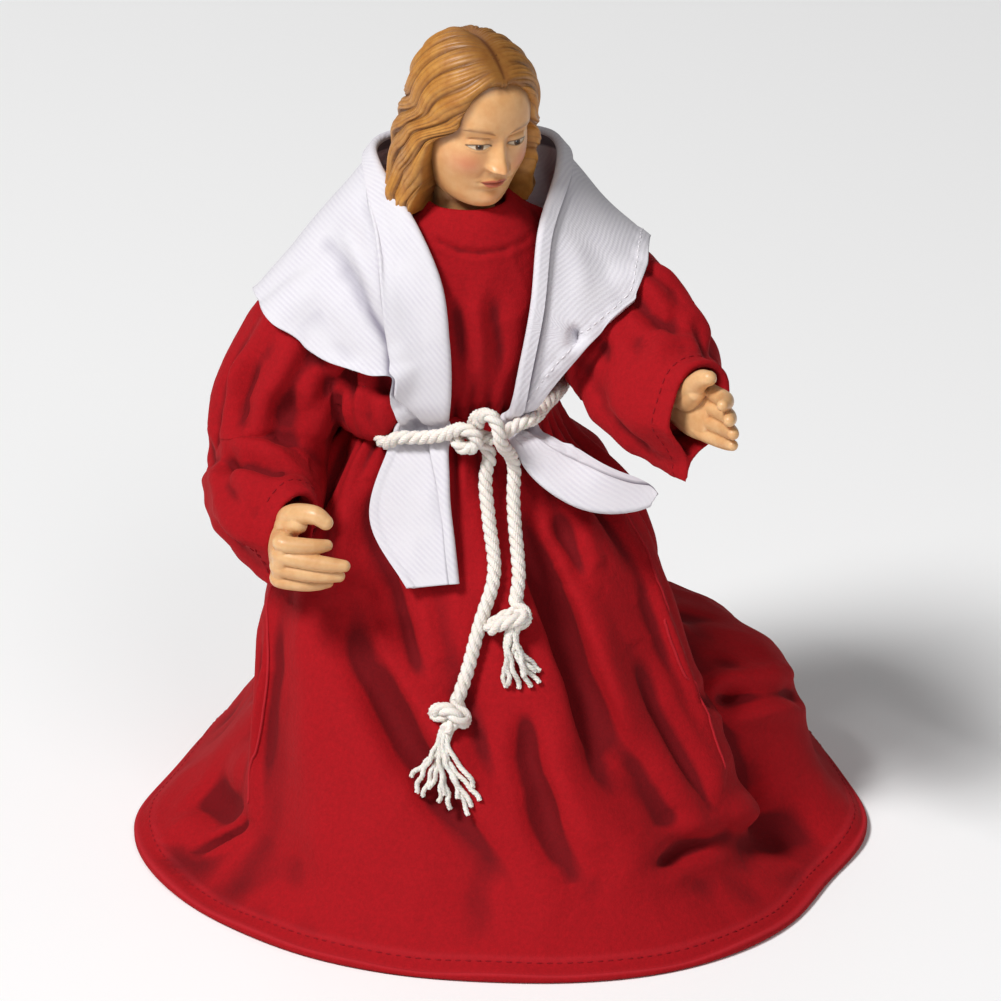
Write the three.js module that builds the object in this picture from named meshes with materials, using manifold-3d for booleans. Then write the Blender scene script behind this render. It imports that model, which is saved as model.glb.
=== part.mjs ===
// A kneeling presepe figure: a carved wooden head and hands, a red cloth dress spread on the ground,
// a white shawl tucked under a rope belt, and the two knotted and frayed ends of that rope.
// Millimetres, +Z up. The figure faces -Y and its own right hand is on the -X side.
// The origin is the middle of the skirt's underside, on the ground.

import * as THREE from "three";
import { LoftGeometry } from "three/addons/geometries/LoftGeometry.js";
import { mergeVertices } from "three/addons/utils/BufferGeometryUtils.js";
import Module from "manifold-3d";

const wasm = await Module();
wasm.setup();

// Driving dimensions
const figureHeight = 134; // ground to the top of the hair
const headHeight = 23.2; // chin to crown, without the hair
const handLength = 18.2; // wrist to fingertip, fingers straight
const waistHeight = 72.5; // ground to the belt, for a figure of the height drawn below
const collarHeight = 105.5; // ground to the collar, likewise
const neckRadius = 4.7;
const neckSocketDepth = 5.5; // how far the neck goes into the collar
const cuffWall = 1; // doubled and hemmed cloth at the sleeve's mouth
const cuffDepth = 12; // hollow behind the sleeve's mouth
const shawlThickness = 1.2; // twill with its turned hems
const lapelStep = 0.9; // the folded-over layer along the shawl's neck edge
const ropeDiameter = 2.1;
const clearance = 0.35; // air between pieces that touch
const drapeSlack = 0.4; // how loosely the shawl lies on the dress

// Small mathematics
const radians = THREE.MathUtils.degToRad;
const mix = THREE.MathUtils.lerp;
const clamp = THREE.MathUtils.clamp;
const ease = (from, to, x) => THREE.MathUtils.smoothstep(x, from, to);
const hill = (x, middle, width) => Math.exp(-(((x - middle) / width) ** 2));
const wrapped = (degrees) => ((((degrees + 180) % 360) + 360) % 360) - 180;

// A smooth curve through rows of [place, value, value...]: returns the values at any place.
function through(rows) {
  const last = rows.length - 1;
  const slope = (i, column) => {
    const before = rows[Math.max(i - 1, 0)];
    const after = rows[Math.min(i + 1, last)];
    return (after[column] - before[column]) / (after[0] - before[0]);
  };
  return (place) => {
    const x = clamp(place, rows[0][0], rows[last][0]);
    let i = 0;
    while (i < last - 1 && x > rows[i + 1][0]) i += 1;
    const span = rows[i + 1][0] - rows[i][0];
    const t = (x - rows[i][0]) / span;
    const values = [];
    for (let column = 1; column < rows[0].length; column += 1) {
      const a = rows[i][column];
      const b = rows[i + 1][column];
      const into = slope(i, column) * span;
      const out = slope(i + 1, column) * span;
      const curve = (2 * t ** 3 - 3 * t ** 2 + 1) * a + (t ** 3 - 2 * t ** 2 + t) * into;
      values.push(curve + (3 * t ** 2 - 2 * t ** 3) * b + (t ** 3 - t ** 2) * out);
    }
    return values;
  };
}

// Radius, in direction angle, of an oval with its own reach to each of four sides.
function ovalRadius([right, left, front, back], centre, angle, squareness) {
  const across = Math.cos(angle);
  const along = Math.sin(angle);
  const wide = across >= 0 ? right - centre[0] : centre[0] - left;
  const deep = along >= 0 ? back - centre[1] : centre[1] - front;
  const sum = (Math.abs(across) / wide) ** squareness + (Math.abs(along) / deep) ** squareness;
  return sum ** (-1 / squareness);
}

function softMax(a, b, softness) {
  const h = clamp(0.5 + (0.5 * (a - b)) / softness, 0, 1);
  return mix(b, a, h) + softness * h * (1 - h);
}

// The body, the head and the hand are drawn at these heights and lengths, and scaled from them.
const drawnFigure = 134;
const drawnHead = 24;
const drawnHand = 17.5;
const drawnWaist = 72.5;
const drawnCollar = 105.5;
const k = figureHeight / drawnFigure;
const headScale = headHeight / drawnHead;
const handScale = handLength / drawnHand;

// Height on the figure of a height h on the drawing, so that all pieces go with the waist and the collar.
function raised(h) {
  if (h < drawnWaist) return (h * waistHeight * k) / drawnWaist;
  const share = (h - drawnWaist) / (drawnCollar - drawnWaist);
  if (share < 1) return mix(waistHeight, collarHeight, share) * k;
  return (h + collarHeight - drawnCollar) * k;
}

// Height on the drawing of a height z on the figure.
function lowered(z) {
  const h = z / k;
  if (h < waistHeight) return (h * drawnWaist) / waistHeight;
  const share = (h - waistHeight) / (collarHeight - waistHeight);
  if (share < 1) return mix(drawnWaist, drawnCollar, share);
  return h + drawnCollar - collarHeight;
}

const at = (x, y, h) => new THREE.Vector3(x * k, y * k, raised(h));

// Solids

function solidOf(geometry) {
  const bare = geometry.index ? geometry.toNonIndexed() : geometry.clone();
  bare.deleteAttribute("normal");
  bare.deleteAttribute("uv");
  const merged = mergeVertices(bare, 1e-3);
  return new wasm.Manifold(
    new wasm.Mesh({
      numProp: 3,
      vertProperties: merged.attributes.position.array,
      triVerts: new Uint32Array(merged.index.array),
    }),
  );
}

function meshOf(name, solid, material) {
  const made = solid.getMesh();
  const geometry = new THREE.BufferGeometry();
  geometry.setAttribute("position", new THREE.BufferAttribute(made.vertProperties, 3));
  geometry.setIndex(new THREE.BufferAttribute(made.triVerts, 1));
  geometry.computeVertexNormals();
  const mesh = new THREE.Mesh(geometry, material);
  mesh.name = name;
  return mesh;
}

const middleOf = (ring) =>
  ring.reduce((sum, p) => sum.add(p), new THREE.Vector3()).divideScalar(ring.length);

function normalOf(ring) {
  const normal = new THREE.Vector3();
  ring.forEach((p, i) => {
    const q = ring[(i + 1) % ring.length];
    normal.x += (p.y - q.y) * (p.z + q.z);
    normal.y += (p.z - q.z) * (p.x + q.x);
    normal.z += (p.x - q.x) * (p.y + q.y);
  });
  return normal.normalize();
}

// A closed solid skinned over rings, whichever way round the rings were drawn.
function loft(rings) {
  const half = Math.floor(rings.length / 2);
  const forward = middleOf(rings[half]).sub(middleOf(rings[half - 1]));
  const reversed = normalOf(rings[half]).dot(forward) < 0;
  const ordered = reversed ? rings.map((ring) => ring.slice().reverse()) : rings;
  return solidOf(new LoftGeometry(ordered, { capStart: true, capEnd: true }));
}

const joined = (...solids) => solids.reduce((all, solid) => all.add(solid));

// A round or oval tube along points, with a radius [across, other] at each, and domed ends.
function tube(
  points,
  radii,
  { steps, sides, across, domes = [true, true], relief = () => 0, narrow = () => 1 },
) {
  const curve = new THREE.CatmullRomCurve3(points, false, "centripetal");
  const size = through(radii.map((pair, i) => [i / (radii.length - 1), pair[0], pair[1]]));
  const rings = [];
  const ring = (t, shift, share) => {
    const tangent = curve.getTangent(t);
    const u = across.clone().addScaledVector(tangent, -across.dot(tangent)).normalize();
    const w = new THREE.Vector3().crossVectors(tangent, u);
    const [wide, high] = size(t);
    const centre = curve.getPoint(t).addScaledVector(tangent, shift * Math.min(wide, high));
    rings.push(
      Array.from({ length: sides }, (_, i) => {
        const angle = (i / sides) * 2 * Math.PI;
        const swell = relief(t, angle);
        return centre
          .clone()
          .addScaledVector(u, Math.cos(angle) * (wide + swell) * share * narrow(t, angle))
          .addScaledVector(w, Math.sin(angle) * (high + swell) * share);
      }),
    );
  };
  const domeAngles = [18, 50].map(radians);
  if (domes[0]) domeAngles.forEach((a) => ring(0, -Math.cos(a), Math.sin(a)));
  for (let i = 0; i <= steps; i += 1) ring(i / steps, 0, 1);
  if (domes[1]) domeAngles.reverse().forEach((a) => ring(1, Math.cos(a), Math.sin(a)));
  return loft(rings);
}

// Dress: the trunk, from the hem to the collar
// Places are drawn in millimetres at the drawn figure's height: right, left, front and back reach.

const hemReach = [56.4, -56.4, -52, 52];
const flareHeight = 10; // the skirt turns out over the ground below this

const trunkAxis = through([
  [0, 0, 0],
  [29, -3.5, -3],
  [41, -5, -3],
  [56, -5.8, -2],
  [72.5, -6, -1.5],
  [85, -5.8, -3],
  [99, -5, -5],
  [105.5, -5, -6.5],
]);
const bodyReach = through([
  [0, 45, -43, -49.5, 29],
  [9, 38.5, -39, -46.5, 27],
  [19, 34, -37, -42, 25],
  [29, 29.5, -36, -37, 23],
  [41, 25, -34.5, -30.5, 20.5],
  [56, 19.2, -30, -22.5, 17.5],
  [66, 10.4, -25, -17, 14],
  [72.5, 7.8, -21, -14.5, 11.5],
  [77, 8.2, -23.2, -16.5, 12],
  [85, 9.6, -24, -17.5, 11.5],
  [92, 10, -22, -17.5, 9.5],
  [98, 7.5, -18, -16.5, 6.5],
  [103, 4.5, -14, -15, 3.5],
  [105.5, 1.8, -11.4, -13.2, 0.6],
]);
const calfReach = through([
  [0, 54, -53, -20, 50],
  [9, 50, -47.5, -18, 47],
  [15, 48.3, -43, -16, 44.5],
  [21, 46, -37, -14, 41.5],
  [26, 41.5, -30.5, -12, 37],
  [30, 29, -25.5, -10, 32.5],
  [34, 17, -20, -9, 26],
  [39, 6, -14, -8, 17],
  [45, -1, -9, -5, 6],
]);
const highestCalf = 45;

// Folds run from top to bottom. turn is in degrees from the front, positive towards +X.
// size is outwards in millimetres, negative for a valley, and width is in degrees.
const skirtFolds = [
  { top: 30, bottom: -6, turn: [24, 28], size: 2.4, width: [26, 26] },
  { top: 30, bottom: -6, turn: [-52, -50], size: -1, width: [20, 20] },
  { top: 60, bottom: 2, turn: [76, 60], size: 3.2, width: [9, 8] },
  { top: 48, bottom: 3, turn: [96, 76], size: -4.2, width: [9, 8] },
  { top: 52, bottom: 3, turn: [-82, -62], size: 2.4, width: [9, 8] },
  { top: 40, bottom: 3, turn: [-100, -80], size: -3.4, width: [9, 8] },
  { top: 66, bottom: 6, turn: [30, 42], size: -2.4, width: [8, 7] },
  { top: 64, bottom: 8, turn: [46, 52], size: 1.6, width: [9, 8] },
  { top: 62, bottom: 4, turn: [-44, 2], size: -2.2, width: [9, 7] },
  { top: 58, bottom: 6, turn: [-20, 22], size: -1.8, width: [8, 7] },
  { top: 64, bottom: 8, turn: [8, 30], size: 1.4, width: [8, 7] },
  { top: 62, bottom: 6, turn: [-62, -34], size: 1.3, width: [10, 9] },
  { top: 62, bottom: 8, turn: [150, 140], size: -2.2, width: [10, 9] },
  { top: 62, bottom: 8, turn: [180, 180], size: -2, width: [10, 9] },
  { top: 62, bottom: 8, turn: [-150, -138], size: -2.2, width: [10, 9] },
  { top: 34, bottom: 2, turn: [122, 118], size: -1.8, width: [9, 8] },
  { top: 34, bottom: 2, turn: [-124, -116], size: -1.8, width: [9, 8] },
  { top: 26, bottom: -8, turn: [-108, -108], size: -3.4, width: [15, 15] },
  { top: 24, bottom: -8, turn: [104, 104], size: -1.6, width: [12, 12] },
  { top: 16, bottom: -8, turn: [66, 66], size: -2.4, width: [13, 13] },
];
const gathers = 14; // small pleats drawn in by the belt
const gatherSize = 0.7;

function foldRelief(h, turn) {
  let relief = 0;
  for (const fold of skirtFolds) {
    const t = (fold.top - h) / (fold.top - fold.bottom);
    const reach = ease(0, 0.35, t) * (1 - ease(0.8, 1.05, t));
    const middle = mix(fold.turn[0], fold.turn[1], clamp(t, 0, 1));
    const width = mix(fold.width[0], fold.width[1], clamp(t, 0, 1));
    relief += fold.size * reach * hill(wrapped(turn - middle), 0, width);
  }
  const nearBelt = hill(h, drawnWaist, 11) * (1 - hill(h, drawnWaist, 4));
  return relief + gatherSize * nearBelt * Math.cos(radians(turn) * gathers);
}

// Outer radius of the trunk at height h on the drawing, turn degrees from the front, before scaling.
function trunkRadius(h, turn) {
  const angle = radians(turn - 90);
  const centre = trunkAxis(h);
  let radius = ovalRadius(bodyReach(h), centre, angle, 2.35);
  if (h < highestCalf) radius = softMax(radius, ovalRadius(calfReach(h), centre, angle, 2.6), 4);
  const flare = clamp(1 - h / flareHeight, 0, 1) ** 2.2;
  radius = mix(radius, ovalRadius(hemReach, centre, angle, 2.05), flare);
  return radius + foldRelief(h, turn);
}

function trunkPoint(h, turn, out = 0) {
  const angle = radians(turn - 90);
  const [x, y] = trunkAxis(h);
  const radius = trunkRadius(h, turn) * k + out;
  return new THREE.Vector3(
    x * k + Math.cos(angle) * radius,
    y * k + Math.sin(angle) * radius,
    raised(h),
  );
}

const trunkHeights = [
  0, 1.5, 5, 10, 15, 20, 25, 29, 33, 40, 49, 58, 66, 70, 72.5, 75, 80, 88, 95, 100, 103.5, 105.5,
];
const trunkSides = 40;

function trunkSolid(grow) {
  const rings = trunkHeights.map((h) =>
    Array.from({ length: trunkSides }, (_, i) => {
      const p = trunkPoint(h, (i / trunkSides) * 360, grow);
      return h === trunkHeights.at(-1) ? p.setZ(p.z + grow) : p;
    }),
  );
  return loft(rings);
}

// Dress: the sleeves, each an upper tube and a fore tube, hollow behind the cuff
// Stations are [x, y, z, across, other] in drawn millimetres.

const sleeves = {
  right: {
    upper: [
      [-11, -2, 96.5, 8.4, 8.4],
      [-20, -2, 88.5, 9.6, 9.8],
      [-28, -2, 80, 10.2, 10.4],
      [-33, -3, 70, 10, 10.4],
      [-34, -5, 63.5, 9.4, 9.6],
    ],
    fore: [
      [-34.4, -6, 61.8, 9, 8.8],
      [-35, -12.5, 60.4, 9, 9.2],
      [-34.4, -19, 59.2, 7.8, 8.8],
      [-31.3, -24.6, 58.4, 5, 8.4],
    ],
    lean: new THREE.Vector3(0.97, 0, -0.24),
  },
  left: {
    upper: [
      [1, -3, 95.5, 8, 8],
      [9.5, -2.6, 90.2, 9.2, 9.4],
      [17.4, -4.2, 85.2, 10.9, 10.9],
      [21.4, -9.4, 81.2, 10.8, 10.8],
      [22.6, -13.4, 79.2, 10.3, 10.3],
    ],
    fore: [
      [22.4, -14, 79, 9.6, 10.2],
      [23.8, -18.4, 78.6, 8.8, 10],
      [25.6, -22.6, 78, 7.4, 9.6],
      [28.3, -26.8, 78.2, 5.5, 9.4],
    ],
    lean: new THREE.Vector3(0.98, 0, -0.15),
  },
};
const sleeveSides = 12;
const mouthSides = 16;
const sideways = new THREE.Vector3(1, 0, 0);
const hangPinch = 0.62; // how far the mouth's two sides close below the hand

const placesOf = (stations) => stations.map(([x, y, z]) => at(x, y, z));
const radiiOf = (stations, less = 0) =>
  stations.map(([, , , across, other]) => [across * k - less, other * k - less]);

// Long soft creases down the cloth and short ones round the elbow.
const sleeveRelief = (t, angle) =>
  k * (0.45 * Math.cos(5 * angle + 2.2 * t) + 0.3 * Math.sin(3 * angle - 3 * t)) * ease(0, 0.3, t);

// The mouth is drop-shaped: round at the wrist and nearly closed where the cloth hangs below it.
const droop = (angle) =>
  1 - hangPinch * ease(0.4, 1, -Math.sin(angle)) + 0.35 * ease(0.3, 1, Math.sin(angle));
const sleeveNarrow = (t, angle) => mix(1, droop(angle), ease(0.3, 1, t));

function sleeveSolid({ upper, fore, lean }, grow) {
  const arm = tube(placesOf(upper), radiiOf(upper, -grow), {
    steps: 5,
    sides: sleeveSides,
    across: sideways,
    relief: sleeveRelief,
  });
  const forearm = tube(placesOf(fore), radiiOf(fore, -grow), {
    steps: 4,
    sides: mouthSides,
    across: lean,
    domes: [true, false],
    narrow: sleeveNarrow,
  });
  return arm.add(forearm);
}

// Slack cloth of the bodice bags down over the belt on the figure's right.
const bagTurns = [-48, -58, -72, -88, -104];
const bagRadii = [[3, 1.4], [4.6, 2.2], [5.1, 2.5], [4.6, 2.2], [2.6, 1.2]]; // high and deep
const bagAbove = 3; // its middle above the belt's
const bagOut = 3.2; // its middle outside the trunk

function bagSolid(grow) {
  const points = bagTurns.map((turn) => trunkPoint(beltHeight(turn) + bagAbove, turn, bagOut * k));
  const radii = bagRadii.map(([high, deep]) => [high * k + grow, deep * k + grow]);
  return tube(points, radii, { steps: 8, sides: 10, across: new THREE.Vector3(0, 0, 1) });
}

// The whole garment, grown by an air gap where a neighbour is cut to clear it.
const garment = (grow) =>
  joined(
    trunkSolid(grow),
    bagSolid(grow),
    sleeveSolid(sleeves.right, grow),
    sleeveSolid(sleeves.left, grow),
  );

// The hollow behind the sleeve's mouth, running on past the mouth.
function cuffHollow({ fore, lean }) {
  const curve = new THREE.CatmullRomCurve3(placesOf(fore), false, "centripetal");
  const mouth = curve.getPoint(1);
  const out = curve.getTangent(1);
  const [across, other] = radiiOf(fore, cuffWall).at(-1);
  const points = [-cuffDepth, -cuffDepth / 2, 0, 2].map((d) =>
    mouth.clone().addScaledVector(out, d),
  );
  const shares = [0.72, 0.9, 1, 1];
  return tube(
    points,
    shares.map((share) => [across * share, other * share]),
    {
      steps: 3,
      sides: mouthSides,
      across: lean,
      domes: [false, false],
      narrow: (t, angle) => droop(angle),
    },
  );
}

// Distance from a point to the outside of the clothed body, negative inside, in millimetres.
function bodyDistance(p) {
  const h = clamp(lowered(p.z), 0, drawnCollar);
  const [x, y] = trunkAxis(h);
  const dx = p.x - x * k;
  const dy = p.y - y * k;
  const turn = THREE.MathUtils.radToDeg(Math.atan2(dy, dx)) + 90;
  let nearest = Math.hypot(dx, dy) - trunkRadius(h, turn) * k;
  if (p.z > collarHeight * k) nearest = Math.max(nearest, p.z - collarHeight * k);
  for (const { upper, fore } of Object.values(sleeves)) {
    for (const stations of [upper, fore]) {
      for (let i = 0; i < stations.length - 1; i += 1) {
        const a = at(...stations[i]);
        const b = at(...stations[i + 1]);
        const line = new THREE.Line3(a, b);
        const t = line.closestPointToPointParameter(p, true);
        const radius = mix(Math.max(...stations[i].slice(3)), Math.max(...stations[i + 1].slice(3)), t);
        nearest = Math.min(nearest, line.at(t, new THREE.Vector3()).distanceTo(p) - radius * k);
      }
    }
  }
  return nearest;
}

// Head: drawn from the chin at 0 to the crown at 24, facing -Y, then turned and placed

const headYaw = radians(33);
const headPitch = radians(13);
const headRoll = radians(6);
const headPlace = at(-6.1, -5.6, 107.4);
const headPose = new THREE.Matrix4()
  .makeTranslation(headPlace.x, headPlace.y, headPlace.z)
  .multiply(new THREE.Matrix4().makeRotationZ(headYaw))
  .multiply(new THREE.Matrix4().makeRotationX(headPitch))
  .multiply(new THREE.Matrix4().makeRotationY(headRoll))
  .multiply(new THREE.Matrix4().makeScale(headScale, headScale, headScale));

const skullReach = through([
  [0, 3.6, -3.6, -6.4, 3],
  [0.8, 4.6, -4.6, -8.4, 4],
  [2.2, 5.4, -5.4, -9, 5],
  [4, 6.4, -6.4, -9, 6],
  [6, 7.1, -7.1, -9.1, 7],
  [8, 7.6, -7.6, -9.2, 8],
  [10, 7.9, -7.9, -9.2, 9],
  [12, 8.1, -8.1, -9.2, 9.6],
  [14, 8.2, -8.2, -9.3, 9.9],
  [16, 8.1, -8.1, -9.3, 10],
  [18, 7.6, -7.6, -8.9, 9.6],
  [20, 6.7, -6.7, -7.9, 8.6],
  [22, 5, -5, -5.9, 6.4],
  [23.4, 2.8, -2.8, -3.2, 3.6],
  [24, 0.9, -0.9, -1, 1.1],
]);
const skullCentre = [0, 0.5];

// The face's features, as rounded hills and hollows on its front: x across, h up.
function faceRelief(x, h) {
  const side = Math.abs(x);
  const bridge = clamp((12.6 - h) / 4.2, 0, 1);
  const nose = (0.5 + 2.5 * bridge) * hill(x, 0, 0.95 + 0.55 * bridge);
  const noseSpan = ease(13.4, 12.2, h) * ease(7.5, 8.5, h);
  const wing = 0.9 * hill(side, 1.3, 0.7) * hill(h, 8.5, 0.75);
  const socket = -1.15 * hill(side, 3.2, 1.9) * hill(h, 12.2, 1.25);
  const lid = 0.95 * hill(side, 3.25, 1.35) * hill(h, 11.8, 0.85);
  const brow = 0.35 * hill(side, 3.2, 2.3) * hill(h, 13.7, 0.7);
  const cheek = 0.5 * hill(side, 4.7, 2) * hill(h, 9.4, 2);
  const upperLip = 0.7 * hill(x, 0, 2) * hill(h, 6.15, 0.5);
  const mouth = -0.4 * hill(x, 0, 2.2) * hill(h, 5.6, 0.25);
  const lowerLip = 0.75 * hill(x, 0, 1.6) * hill(h, 4.95, 0.5);
  const underLip = -0.45 * hill(x, 0, 2) * hill(h, 3.8, 0.6);
  const chin = 0.75 * hill(x, 0, 2) * hill(h, 2.1, 1.3);
  return (
    nose * noseSpan + wing + socket + lid + brow + cheek + upperLip + mouth + lowerLip + underLip + chin
  );
}

function headSolidBare() {
  const heights = [
    0, 0.8, 2.2, 3.8, 4.95, 5.6, 6.2, 7.4, 8.2, 9, 10.4, 11.8, 12.5, 13.4, 15, 18, 21, 23,
  ];
  const frontColumns = 16;
  const backColumns = 5;
  const angles = [];
  for (let i = 0; i < frontColumns; i += 1) angles.push(radians(-158 + (136 * i) / frontColumns));
  for (let i = 0; i < backColumns; i += 1) angles.push(radians(-22 + (224 * i) / backColumns));
  const rings = heights.map((h) =>
    angles.map((angle) => {
      const base = ovalRadius(skullReach(h), skullCentre, angle, 2.15);
      const front = ease(0.15, 0.6, -Math.sin(angle));
      const radius = base + faceRelief(base * Math.cos(angle), h) * front;
      return new THREE.Vector3(
        skullCentre[0] + radius * Math.cos(angle),
        skullCentre[1] + radius * Math.sin(angle),
        h,
      ).applyMatrix4(headPose);
    }),
  );
  return loft(rings);
}

// Hair: two curtains from the parting down to the neck. u runs from the face to the nape.
const lockCount = 6;
const lockDepth = 0.75;
const partingLine = [-7.6, 7]; // front and back of the parting
const hairEnds = -2.2;
const crownShare = 0.36; // share of each lock that lies on the crown

function hairPoint(side, u, v) {
  const drift = 0.035 * Math.sin(7 * v + 3 * u);
  const lock = Math.abs(Math.cos(Math.PI * lockCount * (u + drift)));
  const wave = 0.35 * Math.sin(2 * Math.PI * (2.4 * v + 0.6 * u));
  const swell = (lockDepth * (lock - 0.6) + wave) * ease(0.02, 0.25, v);
  const down = clamp((v - crownShare) / (1 - crownShare), 0, 1);
  const fromFront = mix(mix(40, 63, ease(0, 0.3, down)), 184, u);
  const beta = radians(fromFront);
  const flip = 1.2 * ease(0.7, 1, down) * (1 - u);
  const wide = 9.6 + 1.5 * ease(0, 0.5, down) + flip + swell;
  const deep = (Math.cos(beta) > 0 ? 9.9 : 11.4 - 1.2 * down) + swell;
  const equator = [Math.sin(beta) * wide, 0.5 - Math.cos(beta) * deep];
  const rise = clamp(v / crownShare, 0, 1) * (Math.PI / 2);
  const partingY = mix(partingLine[0], partingLine[1], u);
  const partingZ = 25.1 - 0.05 * (partingY + 0.5) ** 2 - 0.5 * hill(v, 0, 0.06);
  const x = side * mix(-0.5, equator[0], Math.sin(rise));
  const y = mix(partingY, equator[1], Math.sin(rise));
  const z = v < crownShare ? mix(15, partingZ, Math.cos(rise)) : mix(15, hairEnds, down);
  return new THREE.Vector3(x, y, z);
}

function hairSolid(side) {
  const columns = 11;
  const rows = 9;
  const rings = [];
  for (let j = 0; j < rows; j += 1) {
    const v = j / (rows - 1);
    const outer = [];
    const inner = [];
    for (let i = 0; i < columns; i += 1) {
      const p = hairPoint(side, i / (columns - 1), v);
      const core = new THREE.Vector3(0, 1, Math.min(p.z, 11));
      outer.push(p.clone().applyMatrix4(headPose));
      if (i % 2 === 0) inner.push(p.clone().lerp(core, 0.5).applyMatrix4(headPose));
    }
    rings.push([...outer, ...inner.reverse()]);
  }
  return loft(rings);
}

const socketFloor = collarHeight * k - neckSocketDepth;
const neckLine = (bottom) => [
  new THREE.Vector3(0, 2, 7).applyMatrix4(headPose),
  at(-6, -5, 0).setZ(collarHeight * k + 1),
  at(-5, -6, 0).setZ(bottom),
];
const neckTube = (radius, bottom) =>
  tube(neckLine(bottom), [[radius, radius], [radius, radius], [radius, radius]], {
    steps: 5,
    sides: 20,
    across: sideways,
    domes: [false, false],
  });

// Hands: a palm, four fingers and a thumb, in one carving
// arm runs from the wrist up the sleeve, forward from the wrist to the knuckles, and palm is where the
// fingers curl to. curl is the bend at each joint of a finger in degrees, and fingerBend what each
// finger adds to it, from the index finger down. thumb lists [forward, up, palm] places.

const fingerLengths = [8.2, 8.9, 8.3, 6.9];
const fingerThickness = 1.12;
const boneShares = [0.46, 0.32, 0.22]; // of a finger's length
const palmLength = 8.6;
const palmHalfWidth = 4.15;

function handSolid({ wrist, arm, forward, palm, curl, fingerBend, thumb }) {
  const f = forward.clone().normalize();
  const n = palm.clone().addScaledVector(f, -palm.dot(f)).normalize();
  const up = new THREE.Vector3().crossVectors(f, n);
  if (up.z < 0) up.negate();
  const place = (a, b, c) =>
    wrist
      .clone()
      .addScaledVector(f, a * handScale)
      .addScaledVector(up, b * handScale)
      .addScaledVector(n, c * handScale);
  const scaled = (pairs) => pairs.map(([a, b]) => [a * handScale, b * handScale]);

  const back = tube(
    [wrist.clone().add(arm), place(0, 0, 0), place(3.5, 0, 0), place(palmLength, -0.2, 0.2)],
    scaled([[2.8, 2], [3, 2.1], [4, 2], [palmHalfWidth, 1.6]]),
    { steps: 5, sides: 10, across: up, domes: [false, true] },
  );
  const pieces = [back];
  fingerLengths.forEach((length, i) => {
    const height = palmHalfWidth - 1.05 - i * 2.05;
    const points = [place(palmLength - 2, height * 0.92, 0.1)];
    let angle = 0;
    let [a, c] = [palmLength - 0.2, 0.15];
    points.push(place(a, height, c));
    curl.forEach((bend, joint) => {
      angle += radians(bend + fingerBend[i]);
      const step = length * boneShares[joint];
      a += Math.cos(angle) * step;
      c += Math.sin(angle) * step;
      points.push(place(a, height * (1 - 0.03 * joint), c));
    });
    const thick = fingerThickness * (i === 3 ? 0.9 : 1);
    const radii = [[1, 1], [1, 1.05], [1, 1], [0.92, 0.92], [0.8, 0.8]];
    pieces.push(
      tube(points, scaled(radii.map(([a, b]) => [thick * a, thick * b])), {
        steps: 4,
        sides: 6,
        across: up,
        domes: [false, true],
      }),
    );
  });
  pieces.push(
    tube(
      thumb.map((p) => place(...p)),
      scaled([[1.6, 1.6], [1.6, 1.5], [1.3, 1.3], [1.25, 1.2], [0.95, 0.95]]),
      { steps: 4, sides: 6, across: f, domes: [false, true] },
    ),
  );
  return joined(...pieces);
}

const hands = {
  right: {
    wrist: at(-32, -22.8, 58.6),
    arm: new THREE.Vector3(-1.8, 3.4, 0).multiplyScalar(k),
    forward: new THREE.Vector3(-0.03, -0.99, -0.09),
    palm: new THREE.Vector3(1, 0, -0.1),
    curl: [78, 8, 6],
    fingerBend: [9, 0, 1, 6],
    thumb: [[0.5, 1.6, 0.3], [3.4, 5, 0.6], [5.2, 7.2, 1.6], [6.6, 7.6, 4.2], [7.2, 5.9, 5.9]],
  },
  left: {
    wrist: at(25.7, -21.8, 79.2),
    arm: new THREE.Vector3(-2, 2.6, 0).multiplyScalar(k),
    forward: new THREE.Vector3(0.6, -0.8, 0.1),
    palm: new THREE.Vector3(-0.6, -0.7, 0.25),
    curl: [8, 12, 8],
    fingerBend: [8, 4, 0, -4],
    thumb: [[0.5, 0.6, 0.3], [3.6, 1.8, 1.6], [6.4, 3.6, 2.8], [8.4, 5.1, 3.2], [9.9, 5.6, 3.2]],
  },
};

// Shawl: stations along its length, each with its neck edge and its shoulder edge
// Rows are [neck x, y, z, shoulder x, y, z] in drawn millimetres, from the hanging end at -X.

const shawlRows = [
  [-6.5, -26, 52, -13.7, -26.5, 50.5],
  [-7.4, -21.8, 62, -19.6, -19.8, 60],
  [-8.2, -17.2, 72, -15.6, -15.2, 72],
  [-7.6, -18.6, 79, -16.2, -17, 77],
  [-7.7, -19.2, 87, -17.6, -17.8, 81],
  [-8.4, -18.4, 96, -26, -13.5, 82.4],
  [-12, -14.5, 104, -32.5, -8.5, 85.4],
  [-17.2, -4, 109, -37, -1, 87.6],
  [-17.6, 4.5, 110, -35.5, 8, 84],
  [-12.5, 10, 110, -26, 12, 81],
  [-5, 11.6, 110, -7, 12.8, 80.4],
  [3, 9.8, 110.4, 13, 11.4, 82],
  [7.6, 4.5, 110.4, 21, 7.5, 91.2],
  [8.2, -3, 108.6, 21.6, -1.2, 96],
  [5.6, -11.5, 102.5, 20, -12, 91.2],
  [4.6, -17.2, 92, 13.6, -17, 87],
  [2.6, -17.4, 80, 7, -16.6, 78.5],
  [1.8, -16.8, 73.5, 5.4, -15.6, 74],
  [4.4, -19.4, 67, 10.8, -15.6, 69.6],
  [12, -21.6, 62.4, 16.6, -18, 67],
  [21.6, -20.6, 61, 24.4, -18.4, 64.4],
];
const shawlPlace = through(shawlRows.map((row, i) => [i / (shawlRows.length - 1), ...row]));
const lapelSpan = [0.1, 0.36]; // share of the length where the neck edge is folded over
const lapelWidth = 0.42; // share of the width, where it is widest

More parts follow.
